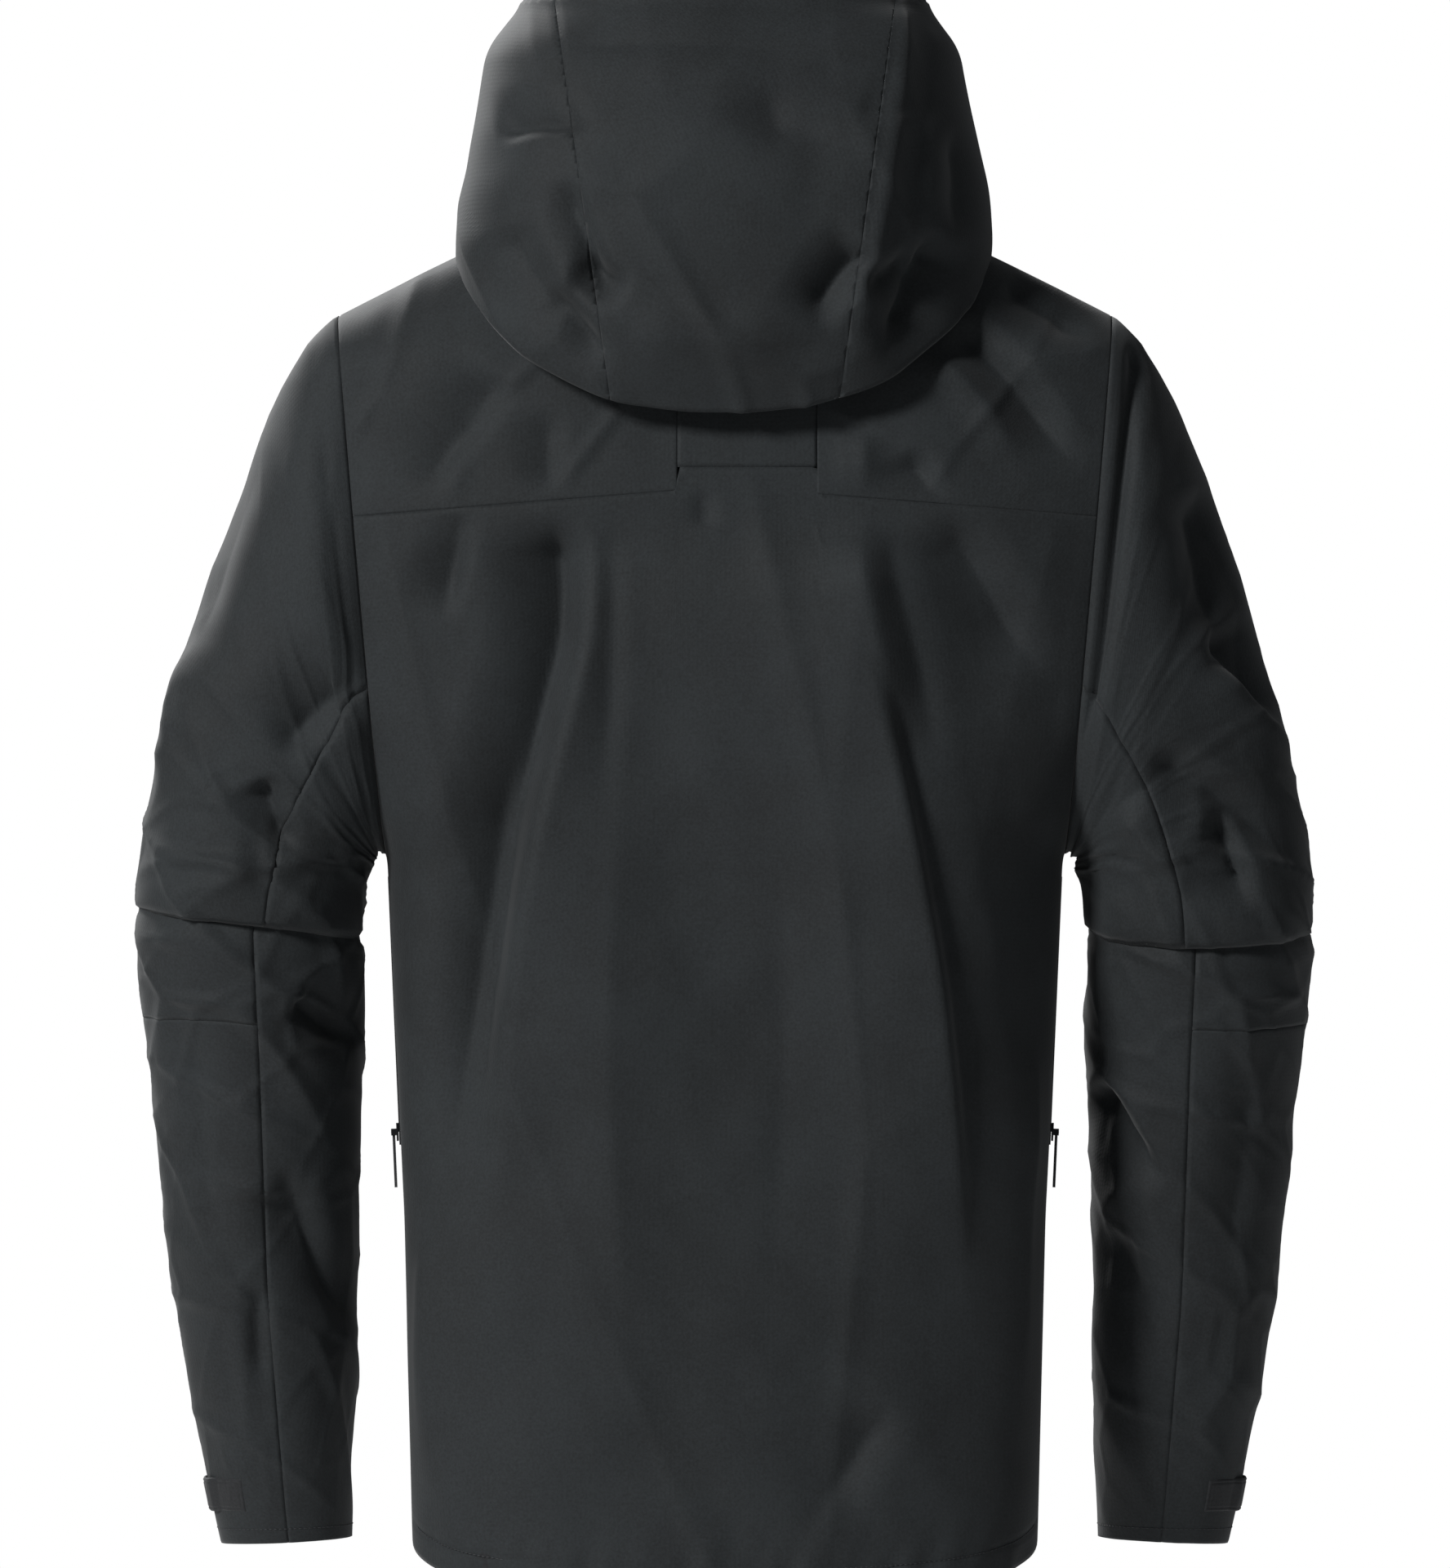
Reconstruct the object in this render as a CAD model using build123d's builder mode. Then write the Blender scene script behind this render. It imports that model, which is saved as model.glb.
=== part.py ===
from build123d import *

import math
import os

# Hardshell jacket, hood up, hanging from its neck loop.  Millimetres.
# +Z is up, the chest faces -Y and the wearer's left is +X.
# The origin is the hang loop at the centre back of the neck.

# ---------------------------------------------------------------- driving sizes
WALL = 1.2              # laminate, with its turned seam allowances
LAYER_GAP = 0.15        # between layers that are sewn together
BODY_GAP = 0.4          # between pieces that move on each other
BACK_LENGTH = 829.0     # hang loop to the lowest point of the drop tail
SIDE_LENGTH = 791.5     # hang loop level to the hem at the side seams
FRONT_LENGTH = 783.0    # hang loop level to the hem at the main zip
CHEST_WIDTH = 416.6     # pit to pit
WAIST_WIDTH = 397.0
HEM_WIDTH = 381.0
SHOULDER_WIDTH = 480.0  # armhole top to armhole top
SHOULDER_Z = -48.0
PIT_Z = -375.0
NECK_WIDTH = 176.0
NECK_DEPTH = 160.0
FRONT_Y = -175.0        # the chest's front, where the main zip runs straight
BACK_Y = 40.0
SIDE_Y = -68.0          # side seams and shoulder line
YOKE_Z = -157.0         # yoke seam beside the tab
YOKE_ARM_Z = -172.0     # yoke seam at the armhole
TAB_WIDTH = 84.0        # neck panel, and the back panel's tab below it
TAB_Z = -142.5
FRONT_YOKE_Z = -110.0
HEM_BAND = 30.0

HOOD_WIDTH = 332.0
HOOD_TOP_Z = 167.0
HOOD_DROP_Z = -107.0    # lowest point of the hood's bag behind the neck
FACE_WIDTH = 176.0
FACE_BOTTOM_Z = 25.0
FACE_TOP_Z = 128.0
HOOD_SEAM_TOP = 108.0   # half width between the hood's two seams, high and low
HOOD_SEAM_LOW = 66.0
BRIM_REACH = 34.0
BRIM_THICK = 2.4

ELBOW_Z = -418.0
ELBOW_WIDTH = 138.0
SLEEVE_DEPTH = 144.0    # front to back at the elbow
CUFF_Z = -808.0
CUFF_WIDTH = 80.0
CUFF_HEM = 15.0
SLEEVE_LEAN = 87.0      # how far the cuff hangs in front of the elbow
SLEEVE_OUT = 224.0      # inner edge of the sleeve at the elbow
DART_Z = -473.0
ROUNDNESS = 0.94        # of the sleeve's section: 1 is fully round

TAB_HEIGHT = 21.0       # cuff tab
TAB_CENTRE_Z = -760.0
TAB_LAYER = 1.0
TAB_SEWN_DEG = 62.0     # round the cuff from the outer side towards the back
TAB_FREE_DEG = -48.0

TAPE_WIDTH = 16.0       # each half of a zip
TAPE_THICK = 0.8
CHAIN_WIDTH = 3.0
CHAIN_THICK = 2.4
CHAIN_SLOT = 0.7        # half the gap that the slider's neck runs in
SLIDER_WIDTH = 9.0
SLIDER_LENGTH = 11.0
SLIDER_PLATE = 1.1
PULL_WIDTH = 5.0
PULL_LENGTH = 34.0
PULL_THICK = 1.6
MAIN_ZIP_TOP = 10.0
FLAP_WIDTH = 40.0       # storm flap behind the main zip
ZIP_OPENING = 8.0       # half the gap between panel edges that shows the zip
POCKET_X = 92.0
POCKET_TOP_Z = -440.0
POCKET_ZIP = 170.0
POCKET_BAG_WIDTH = 78.0
POCKET_BAG_BELOW = 45.0
POCKET_BAG_ABOVE = 15.0
PIT_ZIP = 165.0
PIT_ZIP_TOP = -392.0

LOOP_WIDTH = 60.0
LOOP_DROP = 20.0
LOOP_TAPE = 5.0

FAR = 600.0

os.makedirs("parts", exist_ok=True)


# ---------------------------------------------------------------- helpers
def keep(name, part):
    part.label = name
    export_step(part, f"parts/{name}.step")


def keep_pair(name, part):
    """Writes the wearer's left piece and its mirror image."""
    keep(f"{name}_left", part)
    keep(f"{name}_right", mirror(part, about=Plane.YZ))


def slab_xz(points, y_low, y_high):
    """A prism whose outline is given as (x, z), from y_low to y_high."""
    with BuildPart() as prism:
        with BuildSketch(Plane((0, y_high, 0), x_dir=(1, 0, 0), z_dir=(0, -1, 0))):
            Polygon(*points, align=None)
        extrude(amount=y_high - y_low)
    return prism.part


def slab_yz(points):
    """A prism whose outline is given as (y, z), right across the jacket."""
    with BuildPart() as prism:
        with BuildSketch(Plane((-FAR, 0, 0), x_dir=(0, 1, 0), z_dir=(1, 0, 0))):
            Polygon(*points, align=None)
        extrude(amount=2 * FAR)
    return prism.part


def cut_out(solid, *regions):
    """The part of a shell that lies inside every region."""
    with BuildPart() as panel:
        add(solid)
        for region in regions:
            add(region, mode=Mode.INTERSECT)
    return panel.part


# ---------------------------------------------------------------- the torso's form
def torso_sections():
    """Height, half width, front, back and corner radius, from hem to neck."""
    waist_z = PIT_Z - 225
    return [
        (-BACK_LENGTH - 20, HEM_WIDTH / 2, FRONT_Y, BACK_Y - 4, 85),
        (waist_z, WAIST_WIDTH / 2, FRONT_Y, BACK_Y - 4, 85),
        (PIT_Z, CHEST_WIDTH / 2, FRONT_Y, BACK_Y + 2, 90),
        (PIT_Z + 75, CHEST_WIDTH / 2 + 42, FRONT_Y, BACK_Y + 2, 95),
        (YOKE_ARM_Z, SHOULDER_WIDTH / 2 + 50, FRONT_Y, BACK_Y, 95),
        (SHOULDER_Z - 27, SHOULDER_WIDTH / 2 + 50, FRONT_Y, BACK_Y - 10, 90),
        (SHOULDER_Z, SHOULDER_WIDTH / 2, FRONT_Y, BACK_Y - 20, 80),
        (SHOULDER_Z + 37, SHOULDER_WIDTH / 2 - 74, FRONT_Y + 30, BACK_Y - 32, 60),
        (SHOULDER_Z + 71, NECK_WIDTH / 2 + 4, FRONT_Y + 60, BACK_Y - 52, 40),
    ]


def torso_solid(inset):
    with BuildPart() as solid:
        for z, half_width, front, back, radius in torso_sections():
            with BuildSketch(Plane.XY.offset(z - max(inset, 0))):
                with Locations((0, (front + back) / 2)):
                    RectangleRounded(
                        2 * (half_width - inset), back - front - 2 * inset, radius - inset
                    )
        loft(ruled=True)
    return solid.part


# The armhole is a slanted cut, from the shoulder's end down to the pit.
ARM_TOP = (SHOULDER_WIDTH / 2, SHOULDER_Z)
ARM_PIT = (CHEST_WIDTH / 2, PIT_Z)
ARM_SLOPE = (ARM_TOP[0] - ARM_PIT[0]) / (ARM_TOP[1] - ARM_PIT[1])


def armhole_x(z, out=0.0):
    return ARM_PIT[0] + ARM_SLOPE * (z - PIT_Z) + out


high_z = SHOULDER_Z + 200
body_outline = [
    (-FAR, -FAR * 2),
    (FAR, -FAR * 2),
    (FAR, PIT_Z),
    (ARM_PIT[0], PIT_Z),
    (armhole_x(high_z), high_z),
    (-armhole_x(high_z), high_z),
    (-ARM_PIT[0], PIT_Z),
    (-FAR, PIT_Z),
]
within_armholes = slab_xz(body_outline, -FAR, FAR)

hem_line = [
    (-FAR, -FRONT_LENGTH),
    (FRONT_Y, -FRONT_LENGTH),
    (SIDE_Y, -SIDE_LENGTH),
    (BACK_Y - 4, -BACK_LENGTH),
    (FAR, -BACK_LENGTH),
]
above_hem = slab_yz(hem_line + [(FAR, FAR), (-FAR, FAR)])

with BuildPart() as neck_hole:
    with BuildSketch(Plane.XY.offset(PIT_Z)):
        with Locations((0, -NECK_DEPTH / 2 - 2)):
            Ellipse(NECK_WIDTH / 2, NECK_DEPTH / 2)
    extrude(amount=-PIT_Z + HOOD_TOP_Z)

torso_outer = torso_solid(0)
with BuildPart() as torso_shell:
    add(torso_outer)
    add(torso_solid(WALL), mode=Mode.SUBTRACT)
    add(within_armholes, mode=Mode.INTERSECT)
    add(above_hem, mode=Mode.INTERSECT)
    add(neck_hole.part, mode=Mode.SUBTRACT)

# ---------------------------------------------------------------- torso panels
half_tab = TAB_WIDTH / 2
yoke_seam = [
    (-SHOULDER_WIDTH / 2, YOKE_ARM_Z),
    (-half_tab, YOKE_Z),
    (-half_tab, TAB_Z),
    (half_tab, TAB_Z),
    (half_tab, YOKE_Z),
    (SHOULDER_WIDTH / 2, YOKE_ARM_Z),
]
below_yoke = slab_xz([(-FAR, -FAR * 2), (-FAR, YOKE_ARM_Z)] + yoke_seam
                     + [(FAR, YOKE_ARM_Z), (FAR, -FAR * 2)], SIDE_Y, FAR)

# The pit zips open the side seams, which slope in from the pit to the waist.
pit_zip_low_z = PIT_ZIP_TOP - PIT_ZIP
slot_half = CHAIN_WIDTH + 1
slot_low = pit_zip_low_z - 1
slot_high = PIT_ZIP_TOP + 1
pit_slot = slab_yz([(SIDE_Y - slot_half, slot_low), (SIDE_Y + slot_half, slot_low),
                    (SIDE_Y + slot_half, slot_high), (SIDE_Y - slot_half, slot_high)])
with BuildPart() as back_panel:
    add(cut_out(torso_shell.part, below_yoke))
    add(pit_slot, mode=Mode.SUBTRACT)
keep("back_panel", back_panel.part)

behind_neck = slab_xz([(-half_tab, TAB_Z), (half_tab, TAB_Z), (half_tab, FAR), (-half_tab, FAR)],
                      SIDE_Y, FAR)
keep("neck_panel", cut_out(torso_shell.part, behind_neck))

yoke_back = slab_xz([(half_tab, YOKE_Z), (SHOULDER_WIDTH / 2, YOKE_ARM_Z), (FAR, YOKE_ARM_Z),
                     (FAR, FAR), (half_tab, FAR)], SIDE_Y, FAR)
yoke_front = slab_xz([(ZIP_OPENING, FRONT_YOKE_Z), (FAR, FRONT_YOKE_Z), (FAR, FAR),
                      (ZIP_OPENING, FAR)], -FAR, SIDE_Y)
chin_gap = slab_xz([(0, SHOULDER_Z - 4), (FLAP_WIDTH, SHOULDER_Z - 4), (FLAP_WIDTH, 0), (0, 0)],
                   -FAR, SIDE_Y - 20)
with BuildPart() as yoke_region:
    add(yoke_back)
    add(yoke_front)
    add(chin_gap, mode=Mode.SUBTRACT)
keep_pair("yoke", cut_out(torso_shell.part, yoke_region.part))

# The front panel has a slot for its pocket zip.
pocket_low_z = POCKET_TOP_Z - POCKET_ZIP
front_region = slab_xz([(ZIP_OPENING, -FAR * 2), (FAR, -FAR * 2), (FAR, FRONT_YOKE_Z),
                        (ZIP_OPENING, FRONT_YOKE_Z)], -FAR, SIDE_Y)
slot_left = POCKET_X - slot_half
slot_right = POCKET_X + slot_half
pocket_slot = slab_xz([(slot_left, pocket_low_z), (slot_right, pocket_low_z),
                       (slot_right, POCKET_TOP_Z), (slot_left, POCKET_TOP_Z)],
                      -FAR, FRONT_Y + 40)
with BuildPart() as front_panel:
    add(cut_out(torso_shell.part, front_region))
    add(pocket_slot, mode=Mode.SUBTRACT)
    add(pit_slot, mode=Mode.SUBTRACT)
keep_pair("front", front_panel.part)


def lining_shell(depth, thick):
    """A skin that lies inside the torso, depth below its outer face."""
    with BuildPart() as skin:
        add(torso_solid(depth))
        add(torso_solid(depth + thick), mode=Mode.SUBTRACT)
        add(within_armholes, mode=Mode.INTERSECT)
        add(above_hem, mode=Mode.INTERSECT)
        add(neck_hole.part, mode=Mode.SUBTRACT)
    return skin.part


lining = lining_shell(WALL + LAYER_GAP, TAPE_THICK)
hem_top = [(y, z + HEM_BAND) for y, z in reversed(hem_line)]
hem_region = slab_yz([(y, z - 1) for y, z in hem_line] + hem_top)
clear_of_zip = slab_xz([(-FAR, -FAR * 2), (FAR, -FAR * 2), (FAR, 0), (-FAR, 0)],
                       FRONT_Y + 6, FAR)
keep("hem_facing", cut_out(lining, hem_region, clear_of_zip))

tape_half = 10.0
yoke_tape_region = slab_xz(
    [(-FAR, YOKE_ARM_Z - tape_half)]
    + [(x, z - tape_half) for x, z in yoke_seam[:2]]
    + [(x, z - tape_half) for x, z in yoke_seam[-2:]]
    + [(FAR, YOKE_ARM_Z - tape_half), (FAR, YOKE_ARM_Z + tape_half)]
    + [(x, z + tape_half) for x, z in reversed(yoke_seam[-2:])]
    + [(x, z + tape_half) for x, z in reversed(yoke_seam[:2])]
    + [(-FAR, YOKE_ARM_Z + tape_half)],
    SIDE_Y, FAR)
keep("yoke_seam_tape", cut_out(lining, yoke_tape_region))

side_tape_top = pit_zip_low_z - 2
side_tape_region = slab_yz([(SIDE_Y - tape_half, -FAR * 2), (SIDE_Y + tape_half, -FAR * 2),
                            (SIDE_Y + tape_half, side_tape_top), (SIDE_Y - tape_half, side_tape_top)])
above_facing = slab_yz([(y, z + HEM_BAND + 1) for y, z in hem_line] + [(FAR, FAR), (-FAR, FAR)])
right_half = slab_xz([(0, -FAR * 2), (FAR, -FAR * 2), (FAR, FAR), (0, FAR)], -FAR, FAR)
keep_pair("side_seam_tape", cut_out(lining, side_tape_region, above_facing, right_half))


# ---------------------------------------------------------------- zips
def zip_plane(x, y, z, outward=(0, -1, 0), across=(1, 0, 0)):
    """Local x across the zip, local y up along it, local z out of the jacket."""
    return Plane((x, y, z), x_dir=across, z_dir=outward)


def zip_half(plane, low, high, side):
    """One tape with its row of coil, from low to high along the zip."""
    middle = (low + high) / 2
    sunk = -WALL - LAYER_GAP
    with BuildPart(plane) as half:
        with Locations((side * (CHAIN_SLOT + TAPE_WIDTH / 2), middle, sunk - TAPE_THICK / 2)):
            Box(TAPE_WIDTH, high - low, TAPE_THICK)
        with Locations((side * (CHAIN_SLOT + CHAIN_WIDTH / 2), middle, sunk)):
            Box(CHAIN_WIDTH, high - low, CHAIN_THICK)
    return half.part


def zip_chain(plane, low, high):
    """Both halves of a pocket zip, which is sewn shut at its ends."""
    with BuildPart(plane) as ends:
        for end in (low + 1, high - 1):
            with Locations((0, end, -WALL - LAYER_GAP)):
                Box(2 * CHAIN_SLOT + 2, 2, CHAIN_THICK)
    with BuildPart() as chain:
        add(zip_half(plane, low, high, 1))
        add(zip_half(plane, low, high, -1))
        add(ends.part)
    return chain.part


SLIDER_FACE = CHAIN_THICK / 2 - WALL - LAYER_GAP + BODY_GAP
SLIDER_BACK = -CHAIN_THICK / 2 - WALL - LAYER_GAP - BODY_GAP
BRIDGE_RISE = 3.4
PIN_RADIUS = 0.6
PIN_OUT = SLIDER_FACE + SLIDER_PLATE + 1.8


def zip_slider(plane, along):
    """Two plates joined by a thin neck, with a bridge that holds the pull."""
    neck = SLIDER_FACE - SLIDER_BACK
    with BuildPart(plane) as slider:
        with Locations((0, along, SLIDER_FACE + SLIDER_PLATE / 2)):
            Box(SLIDER_WIDTH, SLIDER_LENGTH, SLIDER_PLATE)
        with Locations((0, along, SLIDER_BACK - SLIDER_PLATE / 2)):
            Box(SLIDER_WIDTH, SLIDER_LENGTH, SLIDER_PLATE)
        with Locations((0, along + SLIDER_LENGTH / 4, (SLIDER_FACE + SLIDER_BACK) / 2)):
            Box(2 * (CHAIN_SLOT - BODY_GAP), SLIDER_LENGTH / 2, neck + 0.2)
        for x in (-1, 1):
            with Locations((x * (PULL_WIDTH / 2 + BODY_GAP + 0.5), along,
                            SLIDER_FACE + SLIDER_PLATE + BRIDGE_RISE / 2 - 0.1)):
                Box(1.0, 4.0, BRIDGE_RISE)
        with Locations(Plane(origin=(0, along, PIN_OUT), x_dir=(0, 1, 0), z_dir=(1, 0, 0))):
            Cylinder(PIN_RADIUS, PULL_WIDTH + 2 * BODY_GAP + 1.2)
    return slider.part


def zip_pull(plane, along):
    """A tab that hangs on the slider's pin by an eye."""
    eye = PIN_RADIUS + BODY_GAP
    with BuildPart(plane) as pull:
        with BuildSketch(Plane(plane.from_local_coords(Vector(-PULL_WIDTH / 2, along, PIN_OUT)),
                               x_dir=plane.y_dir, z_dir=plane.x_dir)):
            Circle(eye + 0.6)
            with Locations((-PULL_LENGTH / 2, 0)):
                Rectangle(PULL_LENGTH, PULL_THICK)
            Circle(eye, mode=Mode.SUBTRACT)
        extrude(amount=PULL_WIDTH)
    return pull.part


main_plane = zip_plane(0, FRONT_Y, 0)
main_low = -FRONT_LENGTH + 3
for side, sign in (("left", 1), ("right", -1)):
    keep(f"main_zip_{side}", zip_half(main_plane, main_low + 14, MAIN_ZIP_TOP, sign))
keep("main_slider", zip_slider(main_plane, MAIN_ZIP_TOP - SLIDER_LENGTH / 2))
keep("main_pull", zip_pull(main_plane, MAIN_ZIP_TOP - SLIDER_LENGTH / 2))

# The retainer box at the foot of the zip, and the fabric garage at its head.
with BuildPart(main_plane) as zip_box:
    with Locations((0, main_low + 7, -WALL - LAYER_GAP)):
        Box(11, 13, CHAIN_THICK + 1)
    fillet(zip_box.edges().filter_by(Axis.Y), 1)
keep("zip_box", zip_box.part)

with BuildPart(main_plane) as zip_garage:
    with Locations((0, MAIN_ZIP_TOP + 8, 1.2)):
        Box(22, 13, 3.6)
    with Locations((0, MAIN_ZIP_TOP + 7, 0.4)):
        Box(19.6, 13, 3.2, mode=Mode.SUBTRACT)
keep("zip_garage", zip_garage.part)

with BuildPart(main_plane) as storm_flap:
    with Locations((4, (main_low + MAIN_ZIP_TOP) / 2, SLIDER_BACK - SLIDER_PLATE - 1.4)):
        Box(FLAP_WIDTH, MAIN_ZIP_TOP - main_low, WALL)
keep("storm_flap", storm_flap.part)

pocket_plane = zip_plane(POCKET_X, FRONT_Y, pocket_low_z)
pocket_stop = SLIDER_LENGTH / 2 + 2 + BODY_GAP
keep_pair("pocket_zip", zip_chain(pocket_plane, 0, POCKET_ZIP))
keep_pair("pocket_slider", zip_slider(pocket_plane, pocket_stop))
keep_pair("pocket_pull", zip_pull(pocket_plane, pocket_stop))

with BuildPart(pocket_plane) as pocket_bag:
    bag_height = POCKET_ZIP + POCKET_BAG_BELOW + POCKET_BAG_ABOVE
    bag_middle = (POCKET_ZIP - POCKET_BAG_BELOW + POCKET_BAG_ABOVE) / 2
    with Locations(((TAPE_WIDTH - POCKET_BAG_WIDTH) / 2 + 4, bag_middle, SLIDER_BACK
                    - SLIDER_PLATE - BODY_GAP - WALL)):
        Box(POCKET_BAG_WIDTH, bag_height, 2 * WALL)
    fillet(pocket_bag.edges().filter_by(Axis.Y), 14)
keep_pair("pocket_bag", pocket_bag.part)

side_run = Vector(CHEST_WIDTH / 2 - WAIST_WIDTH / 2, 0, 225)
side_top_x = CHEST_WIDTH / 2 + (PIT_ZIP_TOP - PIT_Z) * side_run.X / side_run.Z
side_out = Vector(side_run.Z, 0, -side_run.X)
pit_plane = Plane(Vector(side_top_x, SIDE_Y, PIT_ZIP_TOP) - side_run.normalized() * PIT_ZIP,
                  x_dir=(0, 1, 0), z_dir=side_out)
keep_pair("pit_zip", zip_chain(pit_plane, 0, PIT_ZIP))
keep_pair("pit_slider", zip_slider(pit_plane, pocket_stop))
keep_pair("pit_pull", zip_pull(pit_plane, pocket_stop))


# ---------------------------------------------------------------- hood
def hood_solid(inset, floor_up):
    """Sections from the bag's rim to the crown: front (y, z), back (y, z), half width."""
    wide = HOOD_WIDTH / 2
    sections = [
        ((FRONT_Y, SHOULDER_Z), (BACK_Y + 20, HOOD_DROP_Z), wide - 16),
        ((FRONT_Y, 10), (BACK_Y + 44, -50), wide - 1),
        ((FRONT_Y - 4, 60), (BACK_Y + 46, 10), wide - 4),
        ((FRONT_Y - 7, 105), (BACK_Y + 36, 65), wide - 14),
        ((FRONT_Y, 135), (BACK_Y + 10, 115), wide - 29),
        ((FRONT_Y + 25, HOOD_TOP_Z - 12), (BACK_Y - 20, HOOD_TOP_Z - 19), wide - 56),
        ((FRONT_Y + 65, HOOD_TOP_Z), (BACK_Y - 70, HOOD_TOP_Z), wide - 116),
    ]
    with BuildPart() as solid:
        for index, ((y0, z0), (y1, z1), half_width) in enumerate(sections):
            lift = 0.0
            if index == 0:
                lift = floor_up
            if index == len(sections) - 1:
                lift = -inset
            depth = math.hypot(y1 - y0, z1 - z0)
            plane = Plane(((0, (y0 + y1) / 2, (z0 + z1) / 2 + lift)),
                          x_dir=(1, 0, 0), z_dir=(0, z0 - z1, y1 - y0))
            with BuildSketch(plane):
                Ellipse(half_width - inset, depth / 2 - inset)
        loft(ruled=True)
    return solid.part


with BuildPart() as face_opening:
    with BuildSketch(Plane((0, SIDE_Y - 40, (FACE_TOP_Z + FACE_BOTTOM_Z) / 2),
                           x_dir=(1, 0, 0), z_dir=(0, -1, 0))):
        RectangleRounded(FACE_WIDTH, FACE_TOP_Z - FACE_BOTTOM_Z, 48)
    extrude(amount=FAR)

hood_outer = hood_solid(0, 0)
torso_clearance = torso_solid(-LAYER_GAP * 3)
with BuildPart() as hood_shell:
    add(hood_outer)
    add(hood_solid(WALL, WALL), mode=Mode.SUBTRACT)
    add(face_opening.part, mode=Mode.SUBTRACT)
    add(torso_clearance, mode=Mode.SUBTRACT)

seam_low_z = HOOD_DROP_Z - 20
crown_back = slab_xz([(-HOOD_SEAM_LOW, seam_low_z), (HOOD_SEAM_LOW, seam_low_z),
                      (HOOD_SEAM_TOP, HOOD_TOP_Z + 5), (-HOOD_SEAM_TOP, HOOD_TOP_Z + 5)],
                     SIDE_Y, FAR)
crown_low = FACE_TOP_Z - 38
seam_x = HOOD_SEAM_LOW + (HOOD_SEAM_TOP - HOOD_SEAM_LOW) * (
    (crown_low - seam_low_z) / (HOOD_TOP_Z + 5 - seam_low_z))
crown_front = slab_xz([(-seam_x, crown_low), (seam_x, crown_low),
                       (HOOD_SEAM_TOP, HOOD_TOP_Z + 5), (-HOOD_SEAM_TOP, HOOD_TOP_Z + 5)],
                      -FAR, SIDE_Y)
with BuildPart() as crown_region:
    add(crown_back)
    add(crown_front)
keep("hood_centre", cut_out(hood_shell.part, crown_region.part))

hood_left = slab_xz([(ZIP_OPENING, -FAR), (FAR, -FAR), (FAR, FAR), (ZIP_OPENING, FAR)], -FAR, FAR)
chin_zip = slab_xz([(0, -FAR), (TAPE_WIDTH + 2, -FAR), (TAPE_WIDTH + 2, MAIN_ZIP_TOP),
                    (ZIP_OPENING, MAIN_ZIP_TOP), (ZIP_OPENING, FAR), (0, FAR)],
                   FRONT_Y + WALL, FRONT_Y + 12)
garage_seat = slab_xz([(0, MAIN_ZIP_TOP), (12, MAIN_ZIP_TOP), (12, FACE_BOTTOM_Z), (0, FACE_BOTTOM_Z)],
                      -FAR, FRONT_Y + 12)
with BuildPart() as hood_side:
    add(cut_out(hood_shell.part, hood_left))
    add(crown_region.part, mode=Mode.SUBTRACT)
    add(chin_zip, mode=Mode.SUBTRACT)
    add(garage_seat, mode=Mode.SUBTRACT)
keep_pair("hood_side", hood_side.part)

# The peak stands out from the top edge of the face opening.
with BuildPart() as hood_brim:
    brim_plane = Plane((0, FRONT_Y - 4, FACE_TOP_Z + 2), x_dir=(1, 0, 0), z_dir=(0, -0.26, 0.97))
    with BuildSketch(brim_plane):
        Ellipse(FACE_WIDTH / 2 + 8, BRIM_REACH)
        with Locations((0, BRIM_REACH)):
            Rectangle(FACE_WIDTH + 16, 2 * BRIM_REACH)
    extrude(amount=BRIM_THICK)
    add(hood_solid(-LAYER_GAP, 0), mode=Mode.SUBTRACT)
keep("hood_brim", hood_brim.part)

# Tape over the neck seam, and the loop that the jacket hangs by.
with BuildPart() as neck_tape:
    with BuildSketch(Plane.XY.offset(-14)):
        with Locations((0, -NECK_DEPTH / 2 - 2)):
            Ellipse(NECK_WIDTH / 2 - LAYER_GAP, NECK_DEPTH / 2 - LAYER_GAP)
            Ellipse(NECK_WIDTH / 2 - LAYER_GAP - WALL, NECK_DEPTH / 2 - LAYER_GAP - WALL,
                    mode=Mode.SUBTRACT)
    extrude(amount=22)
    add(slab_xz([(-FAR, -FAR), (FAR, -FAR), (FAR, FAR), (-FAR, FAR)], -FAR, SIDE_Y + 6),
        mode=Mode.SUBTRACT)
keep("neck_tape", neck_tape.part)

loop_back = -2 - LAYER_GAP - WALL - 6.5
with BuildPart() as hang_loop:
    with BuildSketch(Plane((0, loop_back, -LOOP_DROP / 2), x_dir=(1, 0, 0), z_dir=(0, -1, 0))):
        SlotOverall(LOOP_WIDTH, LOOP_DROP)
        SlotOverall(LOOP_WIDTH - 2 * LOOP_TAPE, LOOP_DROP - 2 * LOOP_TAPE, mode=Mode.SUBTRACT)
    extrude(amount=1.4)
keep("hang_loop", hang_loop.part)


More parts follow.
